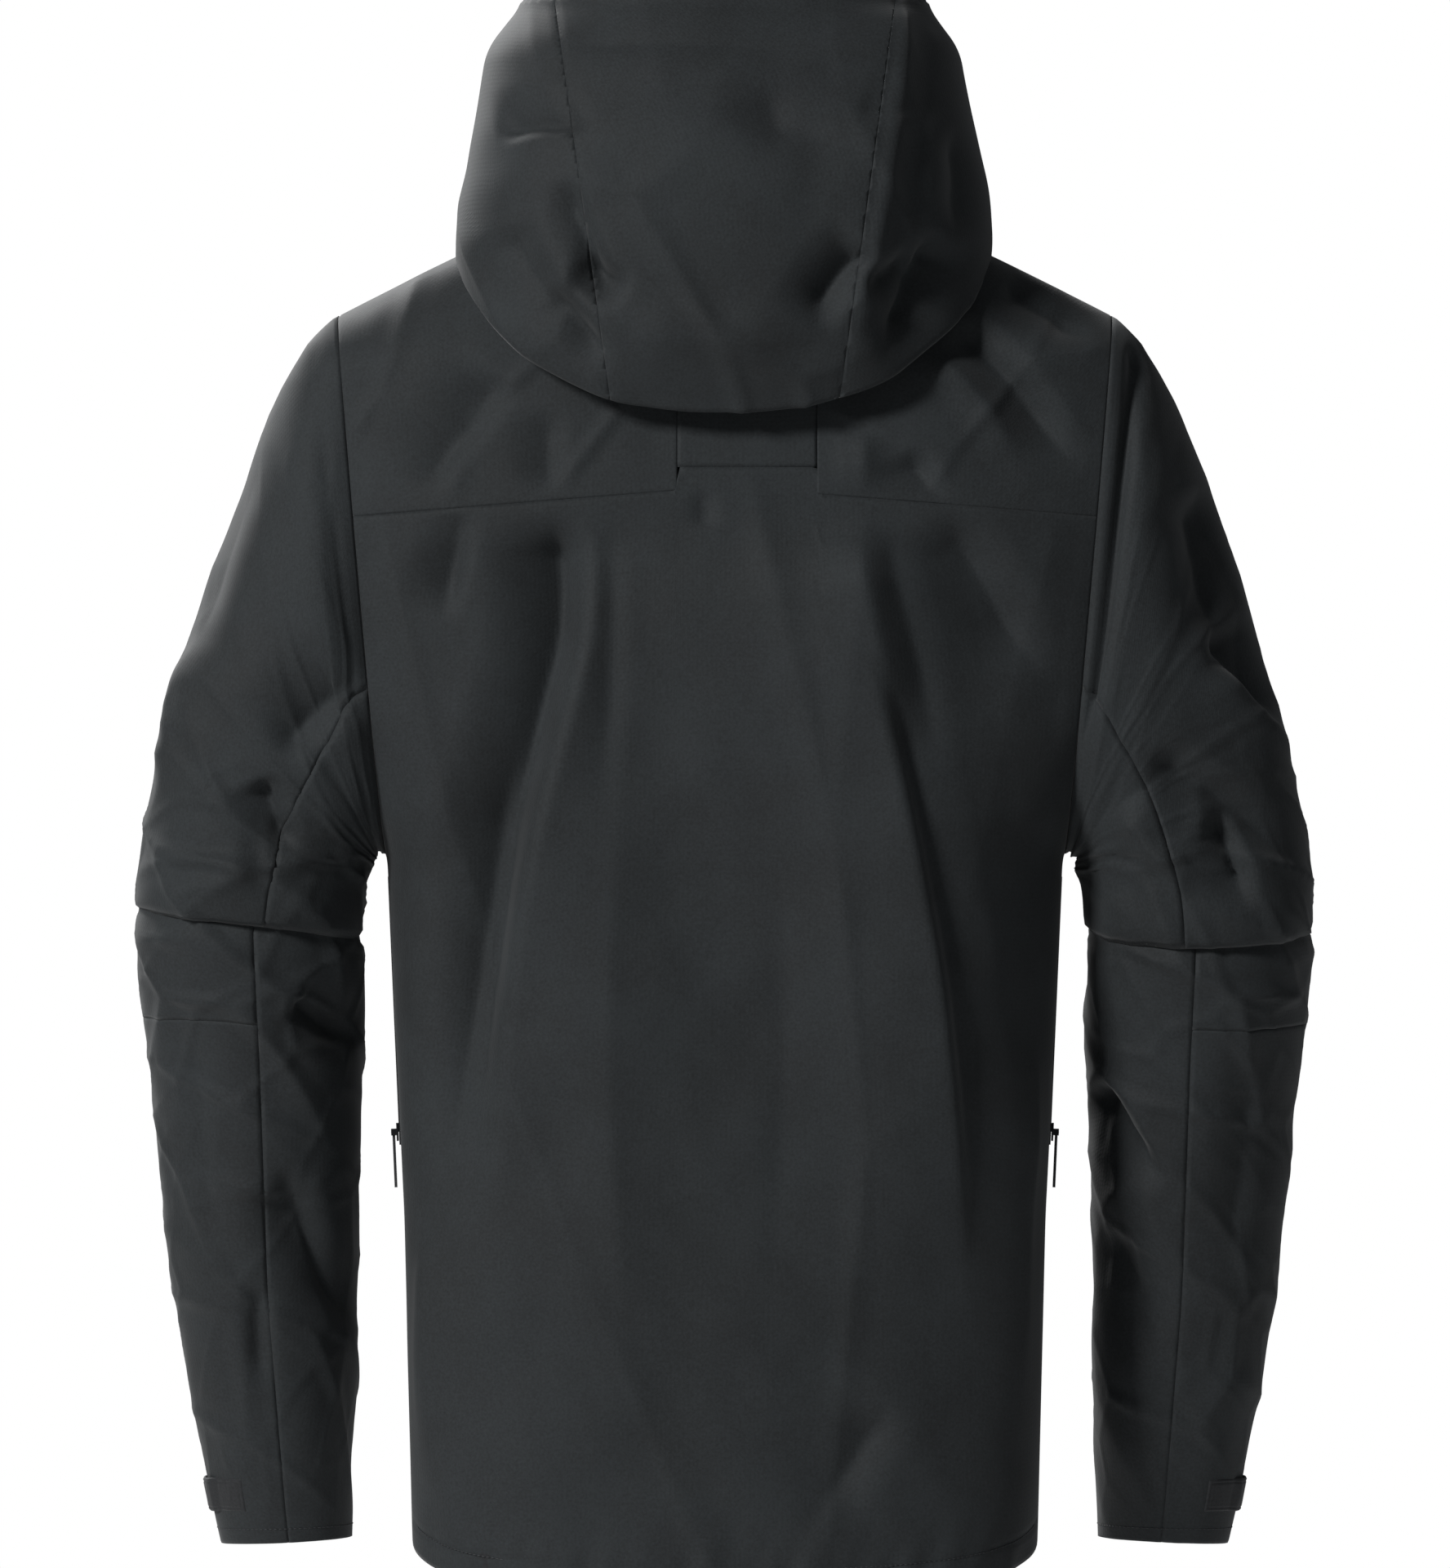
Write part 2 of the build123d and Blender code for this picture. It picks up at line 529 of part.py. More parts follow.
# ---------------------------------------------------------------- sleeves
def sleeve_solid(inset):
    """The wearer's left sleeve, as sections that fan round the pit and run to the cuff."""
    half_elbow = ELBOW_WIDTH / 2
    elbow_out = SLEEVE_OUT + ELBOW_WIDTH
    cuff_out = SLEEVE_OUT + 8 + CUFF_WIDTH
    deep = SLEEVE_DEPTH / 2
    # inner (x, z), outer (x, z), half depth, share of the lean
    sections = [
        ((ARM_PIT[0] + BODY_GAP, PIT_Z), (ARM_TOP[0] + BODY_GAP, SHOULDER_Z), deep + 20, 0.0),
        ((ARM_PIT[0] + 3, PIT_Z - 2), (elbow_out - 86, -102), deep + 18, 0.0),
        ((ARM_PIT[0] + 5, PIT_Z - 4), (elbow_out - 52, -185), deep + 14, 0.01),
        ((ARM_PIT[0] + 7, PIT_Z - 7), (elbow_out - 19, -298), deep + 8, 0.02),
        ((ARM_PIT[0] + 10, PIT_Z - 15), (elbow_out - 3, PIT_Z), deep + 4, 0.04),
        ((SLEEVE_OUT, ELBOW_Z), (elbow_out, ELBOW_Z), deep, 0.06),
        ((SLEEVE_OUT - 1, -503), (elbow_out - 7, -503), deep - 6, 0.27),
        ((SLEEVE_OUT + 4, -651), (cuff_out + 30, -651), deep - 15, 0.62),
        ((SLEEVE_OUT + 7, CUFF_Z + 22), (cuff_out + 6, CUFF_Z + 22), deep - 28, 0.95),
        ((SLEEVE_OUT + 8, CUFF_Z + 3), (cuff_out, CUFF_Z - 3), deep - 31, 1.0),
    ]
    with BuildPart() as solid:
        for (x0, z0), (x1, z1), half_depth, lean in sections:
            centre = ((x0 + x1) / 2, SIDE_Y - lean * SLEEVE_LEAN, (z0 + z1) / 2)
            half_width = math.hypot(x1 - x0, z1 - z0) / 2
            run = Vector(x1 - x0, 0, z1 - z0).normalized()
            with BuildSketch(Plane(centre, x_dir=run, z_dir=run.cross(Vector(0, 1, 0)))):
                RectangleRounded(2 * (half_width - inset), 2 * (half_depth - inset),
                                 ROUNDNESS * min(half_width, half_depth) - inset)
        loft(ruled=True)
    return solid.part


with BuildPart() as sleeve_shell:
    add(sleeve_solid(0))
    add(sleeve_solid(WALL), mode=Mode.SUBTRACT)

above_elbow = slab_xz([(0, ELBOW_Z), (FAR, ELBOW_Z), (FAR, FAR), (0, FAR)], -FAR, FAR)
gusset_line = [(ARM_PIT[0] - 20, PIT_Z + 104), (ARM_PIT[0] + 5, PIT_Z + 104),
               (SLEEVE_OUT + 61, ELBOW_Z)]
gusset_region = slab_xz([(0, -FAR), (SLEEVE_OUT + 61, -FAR)] + gusset_line[::-1]
                        + [(0, PIT_Z + 104)], -FAR, FAR)
with BuildPart() as upper_sleeve:
    add(cut_out(sleeve_shell.part, above_elbow))
    add(gusset_region, mode=Mode.SUBTRACT)
keep_pair("upper_sleeve", upper_sleeve.part)
keep_pair("underarm_gusset", cut_out(sleeve_shell.part, above_elbow, gusset_region))

forearm_top = ELBOW_Z - BODY_GAP
seam_top_x = SLEEVE_OUT + 62
seam_cuff_x = SLEEVE_OUT + 45
dart_drop = 14.0
outer_region = slab_xz([(seam_top_x, forearm_top), (FAR, forearm_top), (FAR, DART_Z + dart_drop),
                        (seam_top_x - 2, DART_Z - dart_drop)], -FAR, FAR)
keep_pair("elbow_panel", cut_out(sleeve_shell.part, outer_region))
lower_region = slab_xz([(seam_top_x - 2, DART_Z - dart_drop), (FAR, DART_Z + dart_drop),
                        (FAR, -FAR * 2), (seam_cuff_x - 30, -FAR * 2), (seam_cuff_x, CUFF_Z)],
                       -FAR, FAR)
keep_pair("forearm_outer", cut_out(sleeve_shell.part, lower_region))
inner_region = slab_xz([(0, forearm_top), (seam_top_x, forearm_top),
                        (seam_top_x - 2, DART_Z - dart_drop), (seam_cuff_x, CUFF_Z),
                        (seam_cuff_x - 30, -FAR * 2), (0, -FAR * 2)], -FAR, FAR)
keep_pair("forearm_inner", cut_out(sleeve_shell.part, inner_region))

cuff_region = slab_xz([(0, CUFF_Z + CUFF_HEM), (FAR, CUFF_Z + CUFF_HEM), (FAR, -FAR * 2),
                       (0, -FAR * 2)], -FAR, FAR)
with BuildPart() as cuff_facing:
    add(sleeve_solid(WALL + LAYER_GAP))
    add(sleeve_solid(WALL + LAYER_GAP + TAPE_THICK), mode=Mode.SUBTRACT)
    add(cuff_region, mode=Mode.INTERSECT)
keep_pair("cuff_facing", cuff_facing.part)

# ---------------------------------------------------------------- cuff tabs
forearm_run = ELBOW_Z - CUFF_Z
tab_share = (TAB_CENTRE_Z - CUFF_Z) / forearm_run
tab_centre = Vector(SLEEVE_OUT + 8 + CUFF_WIDTH / 2 + 4, SIDE_Y - (1 - tab_share) * SLEEVE_LEAN,
                    TAB_CENTRE_Z)
lean_run = Vector(0, SLEEVE_LEAN, forearm_run).normalized()
tab_plane = Plane(tab_centre - lean_run * TAB_HEIGHT / 2, x_dir=(1, 0, 0), z_dir=lean_run)


def cuff_strip(out, thick, start_deg, end_deg, shorten=0.0):
    """A strip round the outer side of the cuff, standing out from the sleeve's face."""
    with BuildPart() as wedge:
        with BuildSketch(tab_plane.offset(shorten)):
            with BuildLine():
                rim = CenterArc((0, 0), CUFF_WIDTH, start_deg, end_deg - start_deg)
                Line((0, 0), rim @ 0)
                Line((0, 0), rim @ 1)
            make_face()
        extrude(amount=TAB_HEIGHT - 2 * shorten)
    with BuildPart() as strip:
        add(sleeve_solid(-out - thick))
        add(sleeve_solid(-out), mode=Mode.SUBTRACT)
        add(wedge.part, mode=Mode.INTERSECT)
    return strip.part


hook_out = BODY_GAP + TAB_LAYER
keep_pair("cuff_loop_patch", cuff_strip(LAYER_GAP, TAB_LAYER - LAYER_GAP, TAB_FREE_DEG - 12,
                                        TAB_SEWN_DEG - 40, 1.5))
keep_pair("cuff_hook_patch", cuff_strip(hook_out, TAB_LAYER, TAB_FREE_DEG + 3,
                                        TAB_FREE_DEG + 43, 1.5))
tab_out = hook_out + TAB_LAYER + LAYER_GAP
cuff_tab = cuff_strip(tab_out, TAB_LAYER, TAB_FREE_DEG, TAB_SEWN_DEG)
keep_pair("cuff_tab", cuff_tab)
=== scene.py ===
# A hooded waterproof jacket in a grey woven laminate, hung by its neck loop with the
# back to the camera. The frame is loaded first; the body, hood and cuff pieces and the
# stitching ride on its bodies, the sleeve panels do not.
import math

import bmesh
import bpy
import numpy as np
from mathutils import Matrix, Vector


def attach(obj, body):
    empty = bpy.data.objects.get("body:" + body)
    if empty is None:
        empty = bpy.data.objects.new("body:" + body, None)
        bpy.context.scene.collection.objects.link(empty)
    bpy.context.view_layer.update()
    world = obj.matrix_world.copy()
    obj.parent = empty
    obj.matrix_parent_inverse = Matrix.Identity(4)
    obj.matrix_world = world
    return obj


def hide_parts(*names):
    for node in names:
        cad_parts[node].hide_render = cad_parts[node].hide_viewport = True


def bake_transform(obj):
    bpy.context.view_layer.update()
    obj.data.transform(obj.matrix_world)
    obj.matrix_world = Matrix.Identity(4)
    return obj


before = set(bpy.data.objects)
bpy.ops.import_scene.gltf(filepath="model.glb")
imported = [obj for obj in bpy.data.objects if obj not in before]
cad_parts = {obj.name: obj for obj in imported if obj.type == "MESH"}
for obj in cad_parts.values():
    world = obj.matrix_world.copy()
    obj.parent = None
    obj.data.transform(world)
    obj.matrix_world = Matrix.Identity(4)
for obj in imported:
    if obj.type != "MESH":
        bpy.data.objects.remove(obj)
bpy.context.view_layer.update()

# --- Camera -------------------------------------------------------------------
# A long lens level with the middle of the jacket, looking at its back.
VIEW_HEIGHT = -0.335
SUBJECT_Y = -0.03
CAMERA_DISTANCE = 8.0
FRAME_HEIGHT = 0.960
SENSOR = 36.0

camera_data = bpy.data.cameras.new("studio_camera")
camera_data.sensor_fit = "VERTICAL"
camera_data.sensor_height = SENSOR
camera_data.lens = SENSOR * CAMERA_DISTANCE / FRAME_HEIGHT
camera_data.clip_end = 60
camera = bpy.data.objects.new("studio_camera", camera_data)
bpy.context.collection.objects.link(camera)
camera.location = (0, SUBJECT_Y + CAMERA_DISTANCE, VIEW_HEIGHT)
camera.rotation_euler = (math.radians(90), 0, math.radians(180))
bpy.context.scene.camera = camera

# --- Shell cloth --------------------------------------------------------------
# Charcoal three-layer laminate: a fine plain weave outside, a membrane and a knit backer
# inside. Every panel is cut from it, so its finish and the way a panel is laid come first.
MM = 0.001
CLOTH_THICK = 0.9 * MM
THREADS_PER_METRE = 2200


def shader_node(material, kind, **values):
    """Adds a node and sets the sockets named, with _ standing for a space."""
    node = material.node_tree.nodes.new("ShaderNode" + kind)
    for socket, value in values.items():
        node.inputs[socket.replace("_", " ")].default_value = value
    return node


def start_finish(name):
    """A new material with its shader and its place on the object."""
    material = bpy.data.materials.new(name)
    material.use_nodes = True
    return (material, material.node_tree.nodes["Principled BSDF"],
            shader_node(material, "TexCoord").outputs["Object"])


def noise(material, place, **values):
    """Cloudy noise on a place, with its sockets set."""
    node = shader_node(material, "TexNoise", **values)
    material.node_tree.links.new(place, node.inputs["Vector"])
    return node.outputs["Fac"]


def arithmetic(material, operation, first, second):
    """Two outputs added or multiplied. The second may be a plain number."""
    node = shader_node(material, "Math")
    node.operation = operation
    material.node_tree.links.new(first, node.inputs[0])
    if isinstance(second, float):
        node.inputs[1].default_value = second
    else:
        material.node_tree.links.new(second, node.inputs[1])
    return node.outputs[0]


def mottled(material, source, colour, mottle, darkest, palest):
    """The colour, darker and paler by the share mottle as the source runs up."""
    ramp = shader_node(material, "ValToRGB")
    for element, at, share in zip(ramp.color_ramp.elements, (darkest, palest),
                                  (1 - mottle, 1 + mottle)):
        element.position = at
        element.color = (*[c * share for c in colour], 1)
    material.node_tree.links.new(source, ramp.inputs["Fac"])
    return ramp.outputs["Color"]


def finish_surface(material, shader, base, gloss, rough_range, height, strength, depth):
    """Joins the colour, the roughness over its range, and the bump to the shader."""
    links = material.node_tree.links
    links.new(base, shader.inputs["Base Color"])
    spread = shader_node(material, "MapRange", To_Min=rough_range[0], To_Max=rough_range[1])
    links.new(gloss, spread.inputs["Value"])
    links.new(spread.outputs["Result"], shader.inputs["Roughness"])
    bump = shader_node(material, "Bump", Strength=strength, Distance=depth)
    links.new(height, bump.inputs["Height"])
    links.new(bump.outputs["Normal"], shader.inputs["Normal"])


def cloth_finish(name, colour, back_colour=None, threads=THREADS_PER_METRE, sheen=0.07,
                 rough=0.78, mottle=0.34, weave_depth=0.00016):
    """A woven cloth on its own UV map, which is in metres along warp and weft."""
    material, shader, place = start_finish(name)
    links = material.node_tree.links
    uv = shader_node(material, "UVMap")
    uv.uv_map = "weave"
    yarns = []
    for axis, kind in (("X", "warp"), ("Y", "weft")):
        wave = shader_node(material, "TexWave", Scale=threads / 20, Distortion=1.2,
                           Detail=1.5, Detail_Scale=2.0)
        wave.label = kind
        wave.wave_type = "BANDS"
        wave.bands_direction = axis
        wave.wave_profile = "SIN"
        links.new(uv.outputs["UV"], wave.inputs["Vector"])
        yarns.append(wave.outputs["Fac"])
    slub = noise(material, place, Scale=620, Detail=4)
    cloud = noise(material, place, Scale=14, Detail=5, Roughness=0.62)
    grain = arithmetic(material, "ADD", arithmetic(material, "MULTIPLY", *yarns), slub)
    tone = arithmetic(material, "MULTIPLY", arithmetic(material, "ADD", slub, cloud), 0.5)
    base = mottled(material, tone, colour, mottle, 0.38, 0.62)
    if back_colour is not None:
        side = shader_node(material, "Attribute")
        side.attribute_name = "inside"
        mix = shader_node(material, "Mix")
        mix.data_type = "RGBA"
        mix.inputs[7].default_value = (*back_colour, 1)
        links.new(side.outputs["Fac"], mix.inputs[0])
        links.new(base, mix.inputs[6])
        base = mix.outputs[2]
    finish_surface(material, shader, base, cloud, (rough - 0.08, rough + 0.10), grain, 0.30,
                   weave_depth)
    shader.inputs["Sheen Weight"].default_value = sheen
    shader.inputs["Sheen Roughness"].default_value = 0.45
    shader.inputs["Specular IOR Level"].default_value = 0.28
    return material


SHELL_COLOUR = (0.0105, 0.0127, 0.0139)
SHELL_BACK_COLOUR = (0.022, 0.023, 0.026)
shell_cloth = cloth_finish("charcoal_shell_cloth", SHELL_COLOUR, SHELL_BACK_COLOUR)


def smooth_table(at, places, values, soften=14.0):
    """A rounded run through a few given values, at every place in at."""
    spread = np.linspace(-soften, soften, 7)
    return sum(np.interp(at + step, places, values) for step in spread) / len(spread)


def eased(path, rounds=3):
    """The same path with its corners rounded off."""
    points = np.array(path, dtype=float)
    for _ in range(rounds):
        if len(points) < 3:
            return points
        first = points[:-1] * 0.75 + points[1:] * 0.25
        second = points[:-1] * 0.25 + points[1:] * 0.75
        inner = np.empty((len(first) * 2, 2))
        inner[0::2], inner[1::2] = first, second
        points = np.vstack([points[:1], inner, points[-1:]])
    return points


def fold(across, up, path, height, left, right, fade=0.22, sharp=1.0):
    """A crease along path: height on the line, falling away over left (towards +across)
    and right millimetres. It rises over the fade share and dies out slowly."""
    points = eased(path)
    blunt = 2.0
    best = np.full(across.shape, 1e9)
    side = np.zeros(across.shape)
    along = np.zeros(across.shape)
    runs = np.diff(points, axis=0)
    lengths = np.hypot(runs[:, 0], runs[:, 1])
    starts = np.concatenate([[0], np.cumsum(lengths)])
    for (a, b), (da, db), length, start in zip(points[:-1], runs, lengths, starts):
        t = np.clip(((across - a) * da + (up - b) * db) / length ** 2, 0, 1)
        off_a, off_b = across - a - t * da, up - b - t * db
        distance = np.hypot(off_a, off_b)
        nearer = distance < best
        best = np.where(nearer, distance, best)
        side = np.where(nearer, da * off_b - db * off_a, side)
        along = np.where(nearer, (start + t * length) / starts[-1], along)
    # side > 0 lies to the left of travel; paths run downwards, so that is +across.
    reach = np.where(side > 0, left, np.maximum(right, 6.0))
    away = (np.hypot(best, blunt) - blunt) / (2.1 * reach)
    profile = np.clip(1 - away, 0, 1) ** (1.15 + 0.6 * sharp)
    ends = np.clip(np.minimum(along / fade, (1 - along) / max(fade, 0.42)), 0, 1)
    return height * profile * ends * ends * (3 - 2 * ends)


def wrinkles(across, up, seed, size, height, stretch=1.0):
    """Small soft hollows, the same each time for the same seed."""
    draw = np.random.default_rng(seed)
    total = np.zeros(across.shape)
    for _ in range(14):
        angle = draw.uniform(0, math.pi)
        pitch = size * draw.uniform(0.6, 1.8)
        wobble = draw.uniform(0.4, 0.9)
        phase, second = draw.uniform(0, 2 * math.pi, 2)
        run = (across * math.cos(angle) * stretch + up * math.sin(angle)) / pitch
        cross = (up * math.cos(angle) - across * math.sin(angle)) / (pitch * 1.7)
        total += np.sin(run * 2 * math.pi + phase
                        + wobble * np.sin(cross * 2 * math.pi + second))
    return height * total / 5.0


def crumple(across, up, seed, size, height, width, lean=0.6, stretch=2.2, area=None):
    """A net of crisp straight creases between flat facets, as stiff cloth takes. Panels
    that share an area, given by the across and up of its corners, share one net."""
    def slanted(a, b):
        return ((a * math.cos(lean) + b * math.sin(lean)) / stretch,
                b * math.cos(lean) - a * math.sin(lean))

    draw = np.random.default_rng(seed)
    run, cross = slanted(across, up)
    wide, tall = slanted(*area) if area is not None else (run, cross)
    low, high = (wide.min(), tall.min()), (wide.max(), tall.max())
    count = int(max(6, (high[0] - low[0]) * (high[1] - low[1]) / size ** 2))
    first = np.full(across.shape, 1e9)
    second = np.full(across.shape, 1e9)
    depth = np.zeros(across.shape)
    for a, b, rise in draw.uniform((low[0] - size, low[1] - size, -1),
                                   (high[0] + size, high[1] + size, 1), (count, 3)):
        distance = np.hypot(run - a, cross - b)
        nearer = distance < first
        second = np.where(nearer, first, np.minimum(second, distance))
        depth = np.where(nearer, rise, depth)
        first = np.where(nearer, distance, first)
    ridge = np.clip(1 - (second - first) / width, 0, 1)
    return height * (ridge ** 1.4 + 0.25 * depth * (1 - ridge))


def outward(grid, centre):
    """Unit normals of a grid of points in rows, pointing away from the centre line."""
    down = np.gradient(grid, axis=0)
    along = np.gradient(grid, axis=1)
    normal = np.cross(down, along)
    size = np.linalg.norm(normal, axis=2, keepdims=True)
    normal = normal / np.maximum(size, 1e-9)
    away = grid - centre
    if np.sum(normal * away) < 0:
        normal = -normal
    return normal


def lay_cloth(name, grids, centre, finish, thick=CLOTH_THICK, merge=0.4 * MM):
    """A panel of cloth from one or more grids of points in metres. Rows run down the
    panel. The shell's face is where the points are, and its thickness goes inwards."""
    points, faces, places = [], [], []
    start = 0
    for grid in grids:
        rows, columns = grid.shape[:2]
        steps = np.linalg.norm(np.diff(grid, axis=1), axis=2)
        along = np.concatenate([np.zeros((rows, 1)), np.cumsum(steps, axis=1)], axis=1)
        along -= along[:, columns // 2][:, None]
        drops = np.linalg.norm(np.diff(grid, axis=0), axis=2)
        down = np.concatenate([np.zeros((1, columns)), np.cumsum(drops, axis=0)], axis=0)
        normal = np.cross(np.gradient(grid, axis=0), np.gradient(grid, axis=1))
        turned = np.sum(normal * (grid - centre)) < 0
        points.append(grid.reshape(-1, 3))
        places.append(np.stack([along, down], axis=2).reshape(-1, 2))
        index = start + np.arange(rows * columns).reshape(rows, columns)
        quads = np.stack([index[:-1, :-1], index[1:, :-1], index[1:, 1:], index[:-1, 1:]],
                         axis=2).reshape(-1, 4)
        faces.append(quads[:, ::-1] if turned else quads)
        start += rows * columns
    points, faces, places = np.vstack(points), np.vstack(faces), np.vstack(places)
    mesh = bpy.data.meshes.new(name)
    mesh.from_pydata(points.tolist(), [], faces.tolist())
    weave = mesh.uv_layers.new(name="weave")
    corners = np.zeros(len(mesh.loops), dtype=np.int32)
    mesh.loops.foreach_get("vertex_index", corners)
    weave.data.foreach_set("uv", places[corners].ravel())
    panel = bpy.data.objects.new(name, mesh)
    bpy.context.collection.objects.link(panel)
    work = bmesh.new()
    work.from_mesh(mesh)
    bmesh.ops.remove_doubles(work, verts=work.verts, dist=merge)
    work.to_mesh(mesh)
    work.free()
    mesh.materials.append(finish)
    if thick:
        give_thickness(panel, thick)
    mesh.polygons.foreach_set("use_smooth", [True] * len(mesh.polygons))
    return panel


def give_thickness(panel, thick):
    """Solidifies inwards and marks the inner faces, so that the backer shows inside."""
    mesh = panel.data
    outer = len(mesh.polygons)
    for each in bpy.context.selected_objects:
        each.select_set(False)
    bpy.context.view_layer.objects.active = panel
    panel.select_set(True)
    wall = panel.modifiers.new("wall", "SOLIDIFY")
    wall.thickness = thick
    wall.offset = -1
    bpy.ops.object.modifier_apply(modifier="wall")
    inside = mesh.attributes.new("inside", "FLOAT", "FACE")
    marks = np.zeros(len(mesh.polygons), dtype=np.float32)
    marks[outer:2 * outer] = 1
    inside.data.foreach_set("value", marks)
    panel.select_set(False)


# --- Torso shape --------------------------------------------------------------
# The body of the jacket hangs as a flattened tube. Its half width, front and back are
# given from the hem up to the neck, in millimetres, and every torso panel lies on it.
HEIGHTS = np.array([-849, -600, -375, -300, -172, -75, -48, -11, 23.0])
HALF_WIDTHS = [191.5, 197.6, 208.3, 250.3, 290, 290, 240, 166, 92]
FRONTS = [-175, -175, -175, -175, -175, -175, -175, -150, -128]
BACKS = [36, 36, 42, 42, 40, 30, 20, 8, -12]
PIT_Z, SHOULDER_Z, NECK_Z = -378.0, -47.0, 23.0
BODY_POWER = 2.7
TAB_TOP_Z = -142.5
ZIP_HALF = 8.0


def body_half_width(z):
    """Half the body's width at a height, out to the point of the shoulder."""
    return smooth_table(z, HEIGHTS, HALF_WIDTHS, 10)


SIDE_HEM_Z, BACK_DROP, FRONT_RISE = -791.5, 37.5, 8.5
SIDE_HEM_X = float(body_half_width(np.array(SIDE_HEM_Z)))
PIT_X = float(body_half_width(np.array(PIT_Z)))
SHOULDER_X = float(body_half_width(np.array(SHOULDER_Z)))


def edge_x(z):
    """Where the body ends sideways: the side seam, the armhole, or the shoulder line."""
    armhole = PIT_X + (SHOULDER_X - PIT_X) * (z - PIT_Z) / (SHOULDER_Z - PIT_Z)
    return np.where((z > PIT_Z) & (z < SHOULDER_Z), armhole, body_half_width(z))


def body_y(x, z, back):
    """The body's face at x and z, on its back or its front."""
    rear = smooth_table(z, HEIGHTS, BACKS)
    fore = smooth_table(z, HEIGHTS, FRONTS)
    middle, half = (rear + fore) / 2, (rear - fore) / 2
    share = np.clip(np.abs(x) / body_half_width(z), 0, 1)
    rise = (1 - share ** BODY_POWER) ** (1 / BODY_POWER)
    return middle + (half if back else -half) * rise


def hem_z(x, back):
    """The hem dips at the back and rises to the front."""
    share = np.clip(np.abs(x) / SIDE_HEM_X, 0, 1)
    rise = (1 - share ** BODY_POWER) ** (1 / BODY_POWER)
    return SIDE_HEM_Z - (BACK_DROP if back else -FRONT_RISE) * rise ** 0.8


def yoke_line(x, above=0.0):
    """The seam under the yoke halves on the back, or a line at a height above it."""
    return -154.5 + above - 0.078 * np.abs(x)


def yoke_z(x):
    """The top of the back panel: the yoke seam, with a tab up into the neck panel."""
    plain = yoke_line(x)
    inside = np.clip((x + 57.5) / 1.5, 0, 1) * np.clip((30.5 - x) / 1.5, 0, 1)
    return plain + inside * (TAB_TOP_Z - plain)


def side_hold(x, z):
    """1 over a panel, falling to 0 at its side seam, armhole and shoulder line."""
    return np.clip((edge_x(z) - np.abs(x)) / 14, 0, 1)


def fixed(value):
    """A side or an end of a panel at one constant x or z, in millimetres."""
    return lambda place: np.full_like(place, value)


def above_hem(back, rise=0.0):
    """An end of a panel that follows the hem, at a height above it."""
    return lambda x: hem_z(x, back) + rise


def from_side(hand, step=0.0):
    """A side of a panel that follows the body's edge, a step in from it."""
    return lambda z: hand * (edge_x(z) - step)


def body_grid(low, high, left, right, back, columns, rows, relief, power=0.62):
    """A grid on the body between the heights low(x) and high(x) and the sides left(z)
    and right(z), all in millimetres, with the relief pushed outwards."""
    s = np.linspace(0, 1, columns)[None, :]
    t = np.linspace(0, 1, rows)[:, None]
    z = np.full((rows, columns), -400.0)
    x = np.zeros((rows, columns))
    for _ in range(12):
        lo, hi = left(z), right(z)
        # Columns crowd towards the sides, where the body turns away.
        middle, half = (lo + hi) / 2, (hi - lo) / 2
        share = np.sin((2 * s - 1) * math.pi / 2 * power) / math.sin(math.pi / 2 * power)
        x = middle + half * share
        z = high(x) + (low(x) - high(x)) * t
    y = body_y(x, z, back)
    grid = np.stack([x, y, z], axis=2)
    normal = outward(grid, np.array([0, -68.0, 0]) + np.stack(
        [np.zeros_like(x), np.zeros_like(x), z], axis=2))
    grid = grid + normal * relief(x, z, s + 0 * t, t + 0 * s)[:, :, None]
    return grid * MM


def seam_dip(share, length, depth=0.26, reach=1.3):
    """A panel's edge turning in at a seam: 0 away from it, -depth on it."""
    away = np.minimum(share, 1 - share) * length
    return -depth * np.exp(-(away / reach) ** 2)


# --- Back panel ---------------------------------------------------------------
# One large piece of shell cloth from side seam to side seam, with a tab let in between
# the yoke halves. It hangs in long soft folds from the yoke seam.
BACK_HEIGHT, HEM_ROW = 650.0, 17.0


